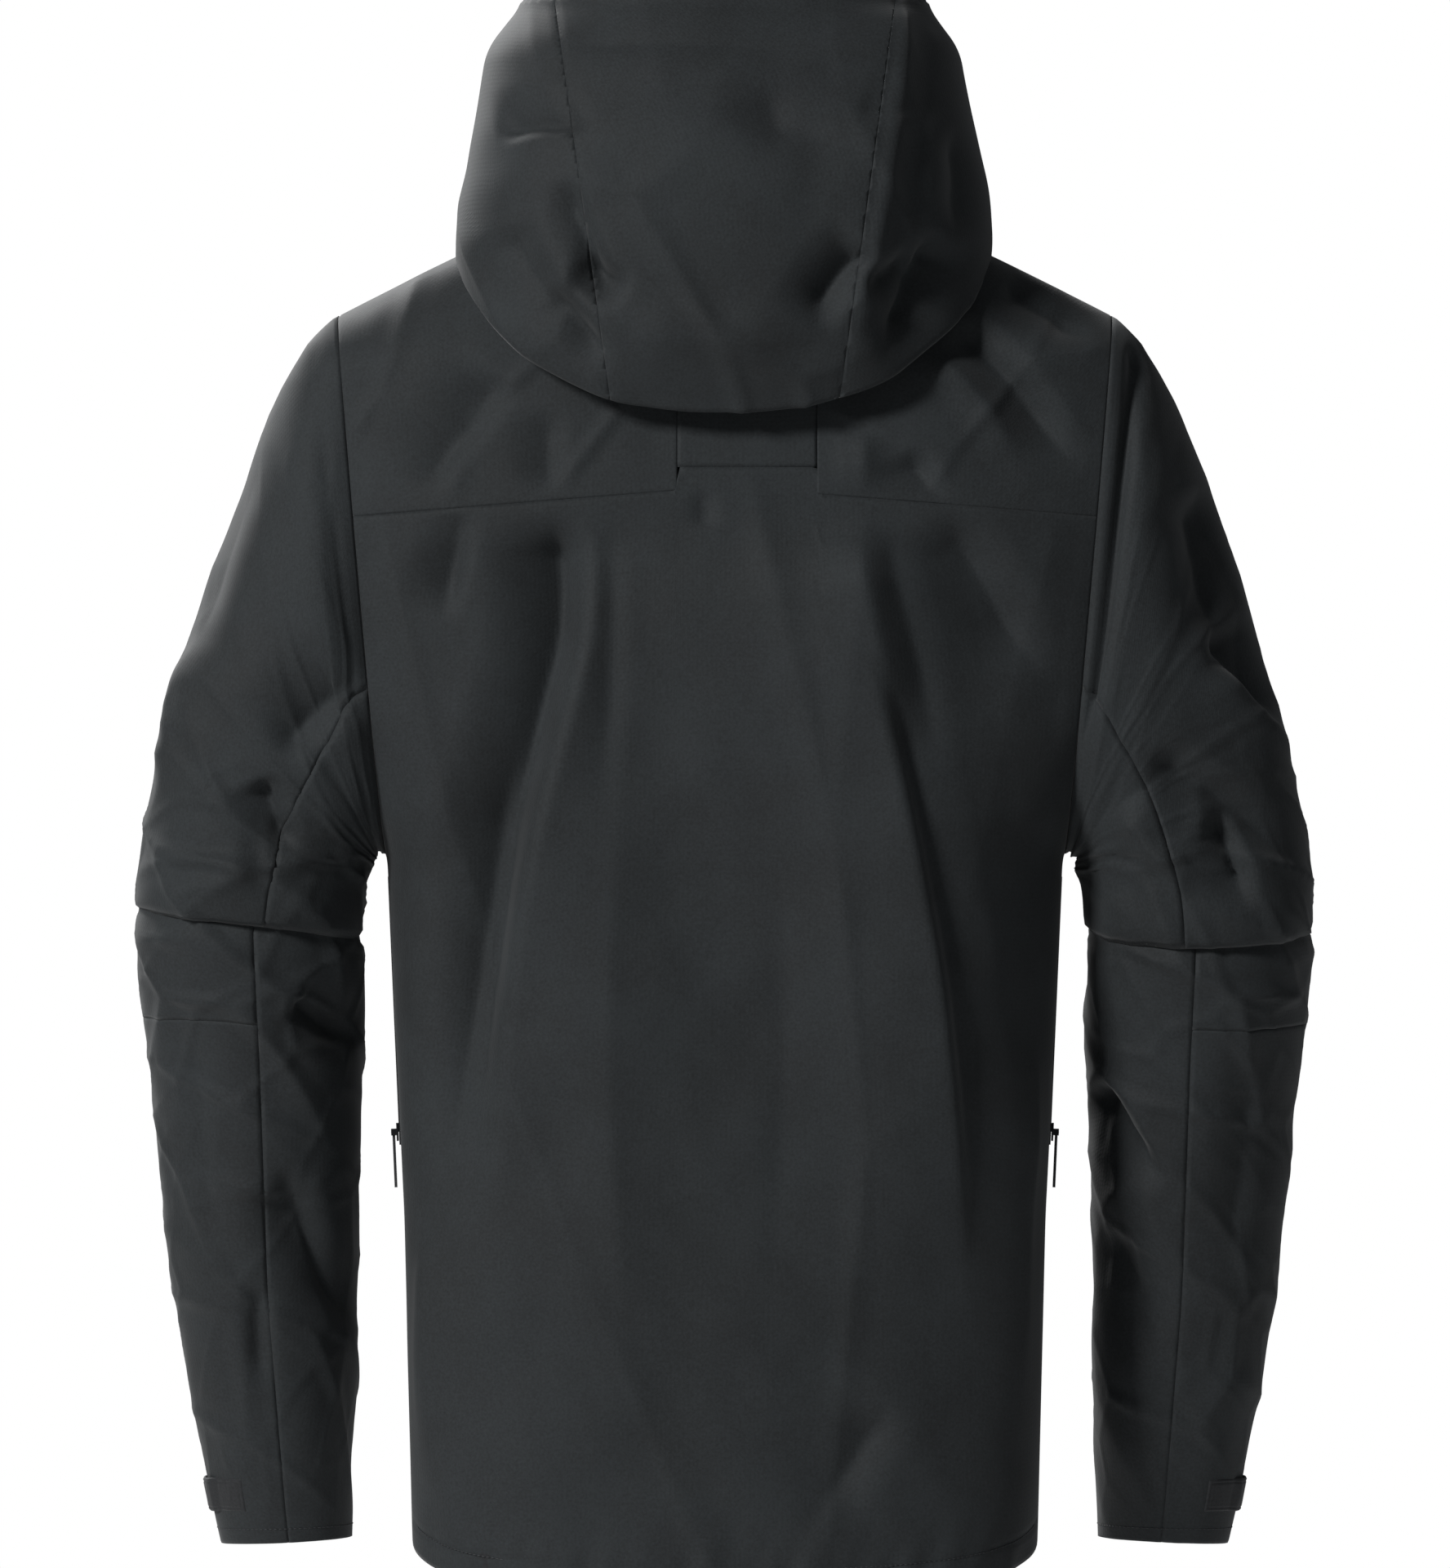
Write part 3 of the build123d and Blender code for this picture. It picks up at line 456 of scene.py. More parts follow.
def back_relief(x, z, s, t):
    """What the back panel's folds, puckers and seams add to the plain body."""
    relief = wrinkles(x, z, 3, 150, 1.5, 1.6) + wrinkles(x, z, 4, 60, 0.45, 1.3)
    relief += crumple(x, z, 5, 95, 1.6, 22, 1.45, 3.2)
    # The long folds, each given by its line down the cloth.
    for crease in (
            ([(104, -166), (97, -235), (113, -289), (140, -396), (156, -530), (158, -640)],
             -21, 22, 10, 0.07, 0.85),
            ([(92, -170), (84, -240), (100, -300), (127, -400), (142, -540)], 7, 7, 40, 0.2,
             1.2),
            ([(124, -300), (150, -390), (168, -520), (172, -640)], -7, 16, 5, 0.2, 1.0),
            ([(-82, -163), (-85, -222), (-101, -289), (-115, -382), (-126, -449),
             (-138, -554), (-150, -700)], 21, 70, 30, 0.10, 0.8),
            ([(-91, -250), (-107, -300), (-122, -382), (-134, -449), (-145, -554),
             (-152, -640)], -9, 4, 14, 0.16, 0.9),
            ([(-98, -176), (-103, -215), (-118, -262), (-128, -330)], -5, 9, 9, 0.18, 1.0),
            ([(158, -162), (166, -200), (173, -240)], -9, 13, 6, 0.2, 1.0),
            ([(70, -165), (68, -260), (76, -360)], -3.5, 9, 5, 0.3, 1.0),
            ([(13, -154), (13, -166), (12, -182)], -4, 6, 5, 0.3, 1.4),
            ([(-130, -166), (-156, -208), (-178, -248), (-199, -276)], -12, 26, 12, 0.22, 0.9),
            ([(-104, -706), (-75, -752), (-45, -792)], -9, 34, 12, 0.3, 1.2),
            ([(184, -600), (186, -690), (184, -775)], 5.0, 7, 10, 0.25, 1.2),
            ([(60, -300), (72, -450), (66, -620), (50, -740)], 5.5, 40, 30, 0.3, 1.8),
            ([(-30, -340), (-38, -520), (-20, -700)], -5.0, 46, 36, 0.3, 1.8),
            ([(-190, -480), (-182, -620), (-186, -760)], 4, 18, 12, 0.3, 1.3)):
        relief += fold(x, z, *crease)
    # The yoke seam holds the cloth flat, and the side seams hold it in.
    relief *= np.clip(t * BACK_HEIGHT / 30, 0, 1) ** 0.8
    held = side_hold(x, z)
    relief = relief * held + seam_dip(s, 2 * edge_x(z)) + seam_dip(t, BACK_HEIGHT)
    # Small puckers where the hem is turned up and stitched.
    near_hem = held * np.exp(-((1 - t) * BACK_HEIGHT / 26) ** 2)
    relief += near_hem * (0.9 * np.sin(x / 6.1) * np.sin(x / 23.0 + 1)
                          + 0.45 * np.sin(x / 3.3 + z / 9)) * (1 + 0.6 * (x < 0))
    up_from_hem = (1 - t) * (yoke_z(x) - hem_z(x, True))
    relief += -0.8 * np.exp(-((up_from_hem - HEM_ROW) / 1.3) ** 2)
    return relief


back_panel = lay_cloth("back_panel_cloth", [body_grid(
    above_hem(True), yoke_z, from_side(-1), from_side(1), True, 172, 226, back_relief,
    0.84)], np.array([0, -0.068, 0]), shell_cloth)
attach(back_panel, "torso")
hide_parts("back_panel")


# --- Fronts -------------------------------------------------------------------
# Two pieces of shell cloth either side of the main zip, each with a slot for its
# chest-to-hip pocket zip. They hang nearly flat, pulled a little by the zips.
FRONT_YOKE_Z = -110.0
POCKET_X, POCKET_LOW, POCKET_HIGH, POCKET_HALF = 92.0, -610.0, -440.0, 3.6


def front_relief(hand):
    """The drape of one front, held flat beside the main zip and its pocket zip."""
    def relief(x, z, s, t):
        flat = np.exp(-((np.abs(x) - ZIP_HALF) / 26) ** 2)
        flat = np.maximum(flat, np.exp(-((np.abs(x) - POCKET_X) / 26) ** 2)
                          * (z < -400) * (z > -650))
        drape = wrinkles(x, z, 21 + hand, 150, 2.2, 1.6) + wrinkles(x, z, 24, 60, 0.5, 1.2)
        drape += crumple(x, z, 25 + hand, 80, 1.8, 20, 1.35, 2.8)
        drape += fold(x, z, [(hand * 165, -190), (hand * 150, -330), (hand * 160, -520),
                             (hand * 150, -700)], -8, 24, 16, 0.2, 1.2)
        drape += fold(x, z, [(hand * 52, -150), (hand * 48, -330), (hand * 55, -560)],
                      4, 20, 24, 0.3, 1.5)
        return drape * (1 - flat) * side_hold(x, z) + seam_dip(t, 670) + seam_dip(s, 200)
    return relief


def pocket_slot(panel, hand):
    """Cuts the pocket zip's slot out of a front panel before it has a thickness."""
    mesh = panel.data
    work = bmesh.new()
    work.from_mesh(mesh)
    for place, normal in (((hand * (POCKET_X - POCKET_HALF), 0, 0), (1, 0, 0)),
                          ((hand * (POCKET_X + POCKET_HALF), 0, 0), (1, 0, 0)),
                          ((0, 0, POCKET_LOW), (0, 0, 1)), ((0, 0, POCKET_HIGH), (0, 0, 1))):
        bmesh.ops.bisect_plane(work, geom=work.verts[:] + work.edges[:] + work.faces[:],
                               plane_co=Vector(place) * MM, plane_no=normal)
    inside = []
    for face in work.faces:
        centre = face.calc_center_median() / MM
        if (abs(abs(centre.x) - POCKET_X) < POCKET_HALF and centre.x * hand > 0
                and POCKET_LOW < centre.z < POCKET_HIGH and centre.y < -90):
            inside.append(face)
    bmesh.ops.delete(work, geom=inside, context="FACES")
    work.to_mesh(mesh)
    work.free()


for side, hand in (("left", 1), ("right", -1)):
    limits = (fixed(hand * ZIP_HALF), from_side(hand))[::hand]
    front = lay_cloth(f"front_panel_cloth_{side}", [body_grid(
        above_hem(False), fixed(FRONT_YOKE_Z), *limits, False, 70, 190,
        front_relief(hand), 0.84)], np.array([0, -0.068, 0]), shell_cloth, thick=0)
    pocket_slot(front, hand)
    give_thickness(front, CLOTH_THICK)
    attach(front, "torso")
    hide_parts(f"front_{side}")


# --- Yoke and neck panel ------------------------------------------------------
# The shoulders: a left and a right yoke that wrap over to the front, and a narrow neck
# panel between them at the centre back. All are shell cloth, joined by taped seams.
NECK_LEFT, NECK_RIGHT = 29.0, -56.0
NECK_MIDDLE, NECK_HALF = (NECK_LEFT + NECK_RIGHT) / 2, (NECK_LEFT - NECK_RIGHT) / 2


def yoke_relief(x, z, s, t):
    """The folds that run from the neck and the hood over the yokes behind."""
    relief = wrinkles(x, z, 31, 120, 1.2) + wrinkles(x, z, 32, 48, 0.35)
    relief += crumple(x, z, 33, 60, 1.8, 16, -0.9, 2.4) * np.clip(t * 4, 0, 1)
    for crease in (
            ([(132, -84), (158, -120), (190, -160)], -7.5, 20, 7, 0.2, 1.0),
            ([(-140, -52), (-172, -84), (-198, -120), (-218, -150)], -11, 14, 8, 0.14, 0.9),
            ([(-128, -70), (-160, -104), (-180, -140)], 5, 10, 8, 0.25, 1.1),
            ([(-168, -26), (-200, -46), (-230, -68)], -8, 12, 7, 0.2, 1.0),
            ([(108, -104), (106, -172)], -5.0, 12, 5, 0.3, 1.0),
            ([(-84, -118), (-84, -172)], 6.0, 18, 9, 0.3, 1.1),
            ([(-110, -130), (-134, -176)], -7.0, 16, 5, 0.3, 1.0)):
        relief += fold(x, z, *crease)
    # The seams to the back panel and the neck panel hold the cloth down.
    held = side_hold(x, z) * np.clip((1 - t) * 170 / 18, 0.1, 1)
    held *= np.clip((np.abs(x - NECK_MIDDLE) - NECK_HALF) / 16, 0.1, 1)
    return relief * held + seam_dip(t, 170) + seam_dip(s, 190)


neck_top = fixed(NECK_Z)
for side, hand in (("left", 1), ("right", -1)):
    rear = (fixed(NECK_LEFT if hand > 0 else NECK_RIGHT), from_side(hand))[::hand]
    fore = (fixed(hand * ZIP_HALF), from_side(hand))[::hand]
    yoke = lay_cloth(f"yoke_cloth_{side}", [
        body_grid(yoke_line, neck_top, *rear, True, 76, 150,
                  yoke_relief, 0.8),
        body_grid(fixed(FRONT_YOKE_Z), neck_top, *fore, False, 76, 130,
                  lambda x, z, s, t: seam_dip(t, 130) + wrinkles(x, z, 35, 90, 1.0)
                  * np.clip((np.abs(x) - 20) / 40, 0, 1) * side_hold(x, z), 0.8)],
        np.array([0, -0.068, -0.06]), shell_cloth)
    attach(yoke, "torso")
    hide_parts(f"yoke_{side}")

neck_panel = lay_cloth("neck_panel_cloth", [body_grid(
    fixed(TAB_TOP_Z), neck_top, fixed(NECK_RIGHT),
    fixed(NECK_LEFT), True, 30, 56,
    lambda x, z, s, t: seam_dip(t, 165) + seam_dip(s, 85, 0.4)
    + wrinkles(x, z, 38, 70, 0.6), 0.5)], np.array([0, -0.068, -0.06]), shell_cloth)
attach(neck_panel, "torso")
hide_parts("neck_panel")


# --- Hood ---------------------------------------------------------------------
# A three-piece helmet-sized hood: a centre strip from the brow over the crown to the
# nape, and a side each way. It sags behind the neck in a rounded bag that stands off
# the yoke, and its face opening is bound with the same cloth.
HOOD_TOP = 179.0
HOOD_SEAM_SLOPE = 42.0 / 299.0
HOOD_SEAM_LOW, HOOD_SEAM_Z = 66.0, -127.0
FACE_HALF, FACE_LOW, FACE_HIGH, FACE_ROUND = 88.0, 25.0, 128.0, 48.0


def hood_half_width(z):
    """Half the hood's width at a height, domed over the crown."""
    sides = smooth_table(z, [-110, -30, -5, 25, 55, 85, 115, 145],
                         [161, 163, 166, 162.7, 156.5, 150, 144.5, 124], 8)
    dome = 124 * np.sqrt(np.clip(1 - ((z - 145) / (HOOD_TOP - 145)) ** 2, 0, 1))
    return np.where(z > 145, dome, sides)


def hood_back(z):
    """How far the hood reaches behind at a height, domed over the crown."""
    body = smooth_table(z, [-110, -95, -78, -58, -20, 30, 65, 115, 145],
                        [56, 65, 75, 83, 85, 84, 76, 52, 26], 7)
    dome = -75 + 101 * np.sqrt(np.clip(1 - ((z - 145) / (HOOD_TOP - 145)) ** 2, 0, 1))
    return np.where(z > 145, dome, body)


def hood_front(z):
    """How far the hood reaches in front at a height."""
    body = smooth_table(z, [-50, 0, 60, 105, 135, 145], [-175, -175, -178, -180, -175, -168], 6)
    dome = -75 - 93 * np.sqrt(np.clip(1 - ((z - 145) / (HOOD_TOP - 145)) ** 2, 0, 1))
    return np.where(z > 145, dome, body)


def hood_rim(angle):
    """Height of the bag's lower edge, low at the nape and higher at the sides."""
    behind = np.clip(np.sin(angle), 0, 1)
    before = np.clip(-np.sin(angle), 0, 1)
    return -13 - 94 * behind ** 1.25 - 33 * before ** 1.5


def hood_relief(x, z, y):
    """The hood's dents and folds, mostly behind, and the grooves of its two seams."""
    relief = wrinkles(x, z, 41, 130, 1.5) + wrinkles(x, z, 42, 55, 0.4)
    relief += crumple(x, z + 0.6 * y, 43, 62, 2.2, 18, 1.1, 2.0) * np.clip(
        (110 - z) / 120, 0.25, 1)
    behind = np.clip((y + 40) / 60, 0, 1)
    seam = HOOD_SEAM_LOW + HOOD_SEAM_SLOPE * (z - HOOD_SEAM_Z)
    right = [(-108, 145), (-106, 110), (-102, 73), (-94, 20), (-90, -10), (-82, -40),
             (-77, -70), (-74, -95)]
    folds = fold(x, z, right, 6.5, 20, 9, 0.08, 1.0)
    for crease in (
            ([(140, 61), (118, 66), (98, 64), (77, 70)], -6.5, 4, 12, 0.2, 0.9),
            ([(-78, 74), (-96, 69), (-116, 74)], -2.6, 5, 15, 0.3, 1.0),
            ([(112, 114), (40, 117), (-30, 113), (-88, 116)], -2.4, 9, 9, 0.2, 1.2),
            ([(10, 74), (-27, 67), (-60, 58), (-84, 44)], -5.0, 15, 32, 0.4, 1.1),
            ([(-22, 92), (-34, 66), (-30, 40)], -3.0, 16, 16, 0.4, 1.3),
            ([(-88, -10), (-72, -26), (-60, -44), (-51, -62)], -12, 14, 7, 0.2, 0.95),
            ([(-118, -14), (-100, -26), (-82, -39)], -9, 5, 9, 0.25, 1.0),
            ([(-132, 4), (-120, -34), (-92, -82)], -15, 10, 17, 0.22, 1.1),
            ([(-140, 70), (-146, 30), (-140, -10)], -6, 9, 14, 0.3, 1.2),
            ([(98, 34), (90, 2), (78, -26), (72, -52)], -9.0, 9, 6, 0.25, 0.9),
            ([(92, -20), (74, -30), (55, -36)], -7, 9, 5, 0.25, 1.0),
            ([(106, -34), (90, -58), (68, -86)], -9, 12, 6, 0.22, 0.95),
            ([(134, 6), (124, -20), (100, -52)], -6, 16, 9, 0.25, 1.1),
            ([(62, -62), (0, -70), (-66, -60)], 3.2, 10, 16, 0.2, 1.2)):
        folds += fold(x, z, *crease)
    groove = -0.75 * np.exp(-((np.abs(x) - seam) / 2.2) ** 2)
    return relief + 1.25 * folds * behind + groove


def hood_grid(columns=340, rows=118):
    """The whole hood in rings from the crown down to the bag's rim, then turned under."""
    angle = np.linspace(0, 2 * math.pi, columns)[None, :]
    t = np.linspace(0, 1, rows)[:, None]
    rim = hood_rim(angle)
    z = HOOD_TOP + (rim - HOOD_TOP) * (0.55 * t ** 1.7 + 0.45 * t) * (1 + 0 * angle)
    back, front = hood_back(z), hood_front(z)
    middle, half = (back + front) / 2, (back - front) / 2
    cosine, sine = np.cos(angle), np.sin(angle)
    power = 0.86
    x = hood_half_width(z) * np.sign(cosine) * np.abs(cosine) ** power
    y = middle + half * np.sign(sine) * np.abs(sine) ** power
    grid = np.stack([x, y, z], axis=2)
    normal = outward(grid, np.array([0, -50.0, 30.0]))
    ease = np.clip(t * 6, 0, 1) * (1 + 0 * angle)
    grid = grid + normal * (hood_relief(x, z, y) * ease)[:, :, None]
    grid[:, -1] = grid[:, 0]
    # Under the rim the cloth turns in and climbs to the neck seam.
    under = []
    edge = grid[-1]
    for scale, rise in ((0.985, -3.2), (0.955, -3.6), (0.92, -1.0), (0.86, 6.0), (0.79, 14.0)):
        ring = edge.copy()
        ring[:, 0] = edge[:, 0] * scale
        ring[:, 1] = -50 + (edge[:, 1] + 50) * scale
        ring[:, 2] = edge[:, 2] + rise
        under.append(ring)
    return np.vstack([grid, np.array(under)]) * MM


def face_distance(x, z):
    """Signed distance outside the rounded face opening joined to the zip's slot."""
    middle = (FACE_LOW + FACE_HIGH) / 2
    over_x = abs(x) - (FACE_HALF - FACE_ROUND)
    over_z = abs(z - middle) - ((FACE_HIGH - FACE_LOW) / 2 - FACE_ROUND)
    outside = math.hypot(max(over_x, 0), max(over_z, 0)) + min(max(over_x, over_z), 0)
    face = outside - FACE_ROUND
    slot = max(abs(x) - ZIP_HALF, z - middle)
    return min(face, slot)


def cut_face_opening(work):
    """Cuts the face opening: edges that cross its line are split on the line itself."""
    front = [v for v in work.verts if v.co.y < -0.09]
    value = {v: face_distance(v.co.x / MM, v.co.z / MM) for v in front}
    for vert in front:
        if abs(value[vert]) < 1.3:
            step = 0.2
            x, z = vert.co.x / MM, vert.co.z / MM
            slope_x = (face_distance(x + step, z) - face_distance(x - step, z)) / (2 * step)
            slope_z = (face_distance(x, z + step) - face_distance(x, z - step)) / (2 * step)
            size = max(slope_x ** 2 + slope_z ** 2, 0.2)
            vert.co.x -= value[vert] * slope_x / size * MM
            vert.co.z -= value[vert] * slope_z / size * MM
    gone = []
    for face in work.faces:
        centre = face.calc_center_median()
        if centre.y < -0.09 and face_distance(centre.x / MM, centre.z / MM) < 0:
            gone.append(face)
    bmesh.ops.delete(work, geom=gone, context="FACES")


hood_whole = lay_cloth("hood_whole", [hood_grid()], np.array([0, -0.05, 0.03]), shell_cloth,
                       thick=0, merge=0.05 * MM)
work = bmesh.new()
work.from_mesh(hood_whole.data)
cut_face_opening(work)
seam_normal = Vector((1, 0, -HOOD_SEAM_SLOPE)).normalized()
for hand in (1, -1):
    bmesh.ops.bisect_plane(
        work, geom=work.verts[:] + work.edges[:] + work.faces[:],
        plane_co=Vector((hand * HOOD_SEAM_LOW, 0, HOOD_SEAM_Z)) * MM,
        plane_no=(seam_normal.x * hand, 0, seam_normal.z))
work.to_mesh(hood_whole.data)
work.free()

for name, node, hand, width, length in (
        ("hood_centre_cloth", "hood_centre", 0, 0.20, 0.50),
        ("hood_side_cloth_left", "hood_side_left", 1, 0.24, 0.27),
        ("hood_side_cloth_right", "hood_side_right", -1, 0.24, 0.27)):
    piece = hood_whole.copy()
    piece.data = hood_whole.data.copy()
    piece.name = piece.data.name = name
    bpy.context.collection.objects.link(piece)
    work = bmesh.new()
    work.from_mesh(piece.data)
    gone = []
    for face in work.faces:
        centre = face.calc_center_median() / MM
        beyond = abs(centre.x) - HOOD_SEAM_LOW - HOOD_SEAM_SLOPE * (centre.z - HOOD_SEAM_Z)
        keep = beyond < 0 if hand == 0 else (beyond > 0 and centre.x * hand > 0)
        if not keep:
            gone.append(face)
    bmesh.ops.delete(work, geom=gone, context="FACES")
    work.to_mesh(piece.data)
    work.free()
    give_thickness(piece, CLOTH_THICK)
    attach(piece, "torso")
    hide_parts(node)
bpy.data.objects.remove(hood_whole)


# --- Sleeves ------------------------------------------------------------------
# Each sleeve is an upper tube with an underarm gusset let in, a darted elbow panel, and a
# forearm of an outer and an inner piece. It hangs forward of the shoulder, and its upper
# tube drops over the forearm in a tuck at the elbow.

# Each ring: inner x and z, outer x and z, half depth, middle y.
SLEEVE_RINGS = [
    (PIT_X, PIT_Z, SHOULDER_X, SHOULDER_Z, 92, -68), (209.4, -377.5, 256.5, -66, 92, -68),
    (210.4, -378, 269, -87, 91, -68), (211.3, -378, 278, -104, 90, -68),
    (213.3, -379, 311, -187, 86, -68.9), (215.3, -382, 343, -298, 80, -69.7),
    (218.3, -390, 360, -375, 76, -71.5), (223, -414, 363, -414, 74, -73.0),
    (223, -470, 359, -470, 69, -84), (223.5, -503, 355, -503, 66, -91.5),
    (228, -651, 342, -651, 57, -121.9), (231, -786, 318, -786, 44, -150.7),
    (232, -806, 312, -811, 41, -155)]
RING_AT = np.array([0, 22, 43, 60, 145, 260, 330, 366, 422, 455, 603, 738, 763.0])
ELBOW_AT, LIP_AT, FORE_AT, DART_AT, CUFF_AT = 366.0, 371.0, 354.0, 432.0, 763.0
SLEEVE_ROUND = 62  # millimetres round the sleeve in a radian


def sleeve_point(angle, at):
    """The sleeve's face, left hand, at an angle round it (0 outside, 90 behind) and at
    millimetres down it."""
    table = [smooth_table(at, RING_AT, [ring[k] for ring in SLEEVE_RINGS], 16)
             for k in range(6)]
    first = np.clip(1 - at / 46, 0, 1)
    for k in range(6):
        table[k] = table[k] * (1 - first) + first * np.interp(
            at, RING_AT, [ring[k] for ring in SLEEVE_RINGS])
    inner_x, inner_z, outer_x, outer_z, depth, middle = table
    cosine, sine = np.cos(angle), np.sin(angle)
    reach = np.sign(cosine) * np.abs(cosine) ** 0.92
    swing = np.sign(sine) * np.abs(sine) ** 0.92
    x = (inner_x + outer_x) / 2 + (outer_x - inner_x) / 2 * reach
    z = (inner_z + outer_z) / 2 + (outer_z - inner_z) / 2 * reach
    y = middle + depth * swing
    # At the armhole the ring lies on the body's own edge.
    ease = np.clip(1 - at / 70, 0, 1) ** 1.5
    edge_z = np.clip(z, PIT_Z, SHOULDER_Z)
    rear = body_y(edge_x(edge_z), edge_z, True)
    fore = body_y(edge_x(edge_z), edge_z, False)
    on_body = np.where(sine > 0, rear, fore)
    y = y * (1 - ease) + on_body * ease
    return x, y, z


def gusset_edge(at):
    """The angle of the gusset's seam behind; in front it is the same the other way."""
    return np.radians(np.interp(at, [0, 120, 366, 440], [111, 109, 98, 95]))


def left_creases(x, z):
    """The creases placed behind the left sleeve, from the armpit to the cuff."""
    relief = np.zeros_like(x)
    for crease in (
            ([(275, -318), (248, -290), (215, -268)], -8, 10, 22, 0.25, 1.1),
            ([(284, -330), (276, -352), (262, -384)], -7, 14, 5, 0.2, 0.9),
            ([(325, -240), (338, -300), (344, -360)], 5, 12, 22, 0.3, 1.4),
            ([(300, -120), (316, -190), (322, -260)], -4, 20, 14, 0.3, 1.4),
            ([(284, -380), (310, -396), (345, -400)], 4, 10, 12, 0.25, 1.3),
            ([(264, -466), (246, -482), (222, -496)], -7, 10, 16, 0.2, 1.1),
            ([(274, -570), (252, -622), (224, -684)], -7, 20, 9, 0.2, 1.1),
            ([(287, -640), (288, -674), (285, -710)], -4, 7, 6, 0.3, 1.2),
            ([(330, -470), (322, -560), (312, -650)], -3, 20, 16, 0.3, 1.5)):
        relief += fold(x, z, *crease)
    return relief


def right_creases(x, z):
    """The same for the right sleeve, given on the left hand, so x is the distance out."""
    relief = np.zeros_like(x)
    for crease in (
            ([(290, -150), (299, -205), (307, -262)], -8, 12, 20, 0.2, 1.1),
            ([(300, -238), (328, -270), (354, -306)], -9, 20, 10, 0.2, 1.0),
            ([(300, -258), (325, -292), (352, -330)], 5, 8, 16, 0.25, 1.1),
            ([(254, -318), (290, -334), (330, -360), (353, -396)], -7, 8, 18, 0.2, 1.0),
            ([(300, -352), (311, -380), (320, -414)], -6, 5, 14, 0.2, 0.9),
            ([(240, -346), (262, -372), (284, -404)], 5, 14, 8, 0.25, 1.2),
            ([(224, -518), (248, -552), (271, -586)], -7.5, 5, 16, 0.15, 0.9),
            ([(226, -600), (250, -640), (262, -700)], -4, 14, 14, 0.25, 1.3),
            ([(330, -480), (318, -570), (308, -660)], -3.5, 16, 18, 0.3, 1.5)):
        relief += fold(x, z, *crease)
    return relief


def tuck_drop(hand, angle):
    """How far the tuck's line lies below its plain height, round the sleeve."""
    if hand > 0:
        return 3 - 9 * np.cos(angle)
    return 6 + 11 * np.abs(np.sin(angle))


def sleeve_creases(hand, angle, at, plain):
    """Hollows and crisp creases, one pattern for all the sleeve's panels, so that they
    meet at the seams."""
    around = angle * SLEEVE_ROUND
    corners = (np.array([-170.0, -170, 300, 300]), np.array([0, 790.0, 0, 790]))
    soft = wrinkles(around, at, 50 + hand, 110, 1.3) * np.clip(at / 40, 0, 1)
    soft += wrinkles(around, at, 52, 42, 0.35)
    busy = (np.exp(-((plain - 335) / 75) ** 2) + 0.8 * np.exp(-((plain - 455) / 80) ** 2)
            + 0.55 * np.exp(-((plain - 620) / 90) ** 2) + 0.25)
    return soft + busy * (0.35 + 0.65 * np.abs(np.sin(angle))) * (
        crumple(around, at, 120 + hand, 46, 3.6, 13, 0.55 * hand, 2.2, corners)
        + crumple(around, at, 140 + hand, 30, 1.4, 8, -0.7, 1.8, corners))


def sleeve_grid(hand, from_at, to_at, from_angle, to_angle, columns, rows, bulge=None,
                edges=True, seams=None):
    """A grid on the sleeve between two distances down it and two angles round it, with
    its creases, its dipped edges, and any bulge or seams of its own pushed outwards."""
    s = np.linspace(0, 1, columns)[None, :]
    t = np.linspace(0, 1, rows)[:, None]
    plain = from_at + (to_at - from_at) * t + 0 * s
    low, high = from_angle(plain), to_angle(plain)
    angle = low + (high - low) * s
    # The whole tuck follows its own line, and the rest of the sleeve eases into it.
    near = np.exp(-((plain - ELBOW_AT) / 60) ** 2)
    at = plain + tuck_drop(hand, angle) * near
    x, y, z = sleeve_point(angle, at)
    grid = np.stack([x, y, z], axis=2)
    axis = np.stack([x * 0 + np.interp(at, RING_AT, [(r[0] + r[2]) / 2 for r in SLEEVE_RINGS]),
                     np.interp(at, RING_AT, [r[5] for r in SLEEVE_RINGS]),
                     np.interp(at, RING_AT, [(r[1] + r[3]) / 2 for r in SLEEVE_RINGS])],
                    axis=2)
    normal = outward(grid, axis)
    behind = np.clip(np.sin(angle) * 2.5, 0, 1)
    front = np.clip(-np.sin(angle) * 2.5, 0, 1)
    creases = left_creases if hand > 0 else right_creases
    relief = 1.8 * creases(x, z) * (behind + 0.75 * front)
    # Past 200 degrees the pattern eases over to the one that the front seam meets.
    round_to = np.where(angle < math.radians(-93.5), angle + 2 * math.pi, angle)
    over = np.clip((np.degrees(round_to) - 200) / 40, 0, 1)
    relief = relief + (1 - over) * sleeve_creases(hand, round_to, at, plain)
    relief += over * sleeve_creases(hand, round_to - 2 * math.pi, at, plain)
    # The cloth sinks beside the armhole seam, deepest on the right.
    sink = 1.0 if hand > 0 else 8.0
    relief -= sink * behind ** 2 * np.exp(-((at - 19) / 8) ** 2) * np.clip(
        (z + 320) / 40, 0, 1)
    relief *= np.clip(at / 22, 0, 1) * np.clip((770 - at) / 60, 0.25, 1)
    if edges:
        relief = relief + seam_dip(s + 0 * t, 150)
    if bulge is not None:
        relief = relief + bulge(angle, plain)
    if seams is not None:
        relief = relief + seams(s + 0 * t, t + 0 * s)
    grid = grid + normal * relief[:, :, None]
    grid[:, :, 0] *= hand
    return grid * MM


def turn(degrees):
    """A panel's edge that runs down the sleeve at one angle."""
    return lambda at: np.full_like(at, math.radians(degrees))


def tuck_lip(angle, at):
    """The upper tube swells over the elbow and turns under at its lower end."""
    facing = np.abs(np.sin(angle))
    swell = 3.6 * np.exp(-((at - (ELBOW_AT - 9)) / 15) ** 2)
    under = -4.6 * np.clip((at - ELBOW_AT) / 5, 0, 1) ** 2
    return swell * facing + under


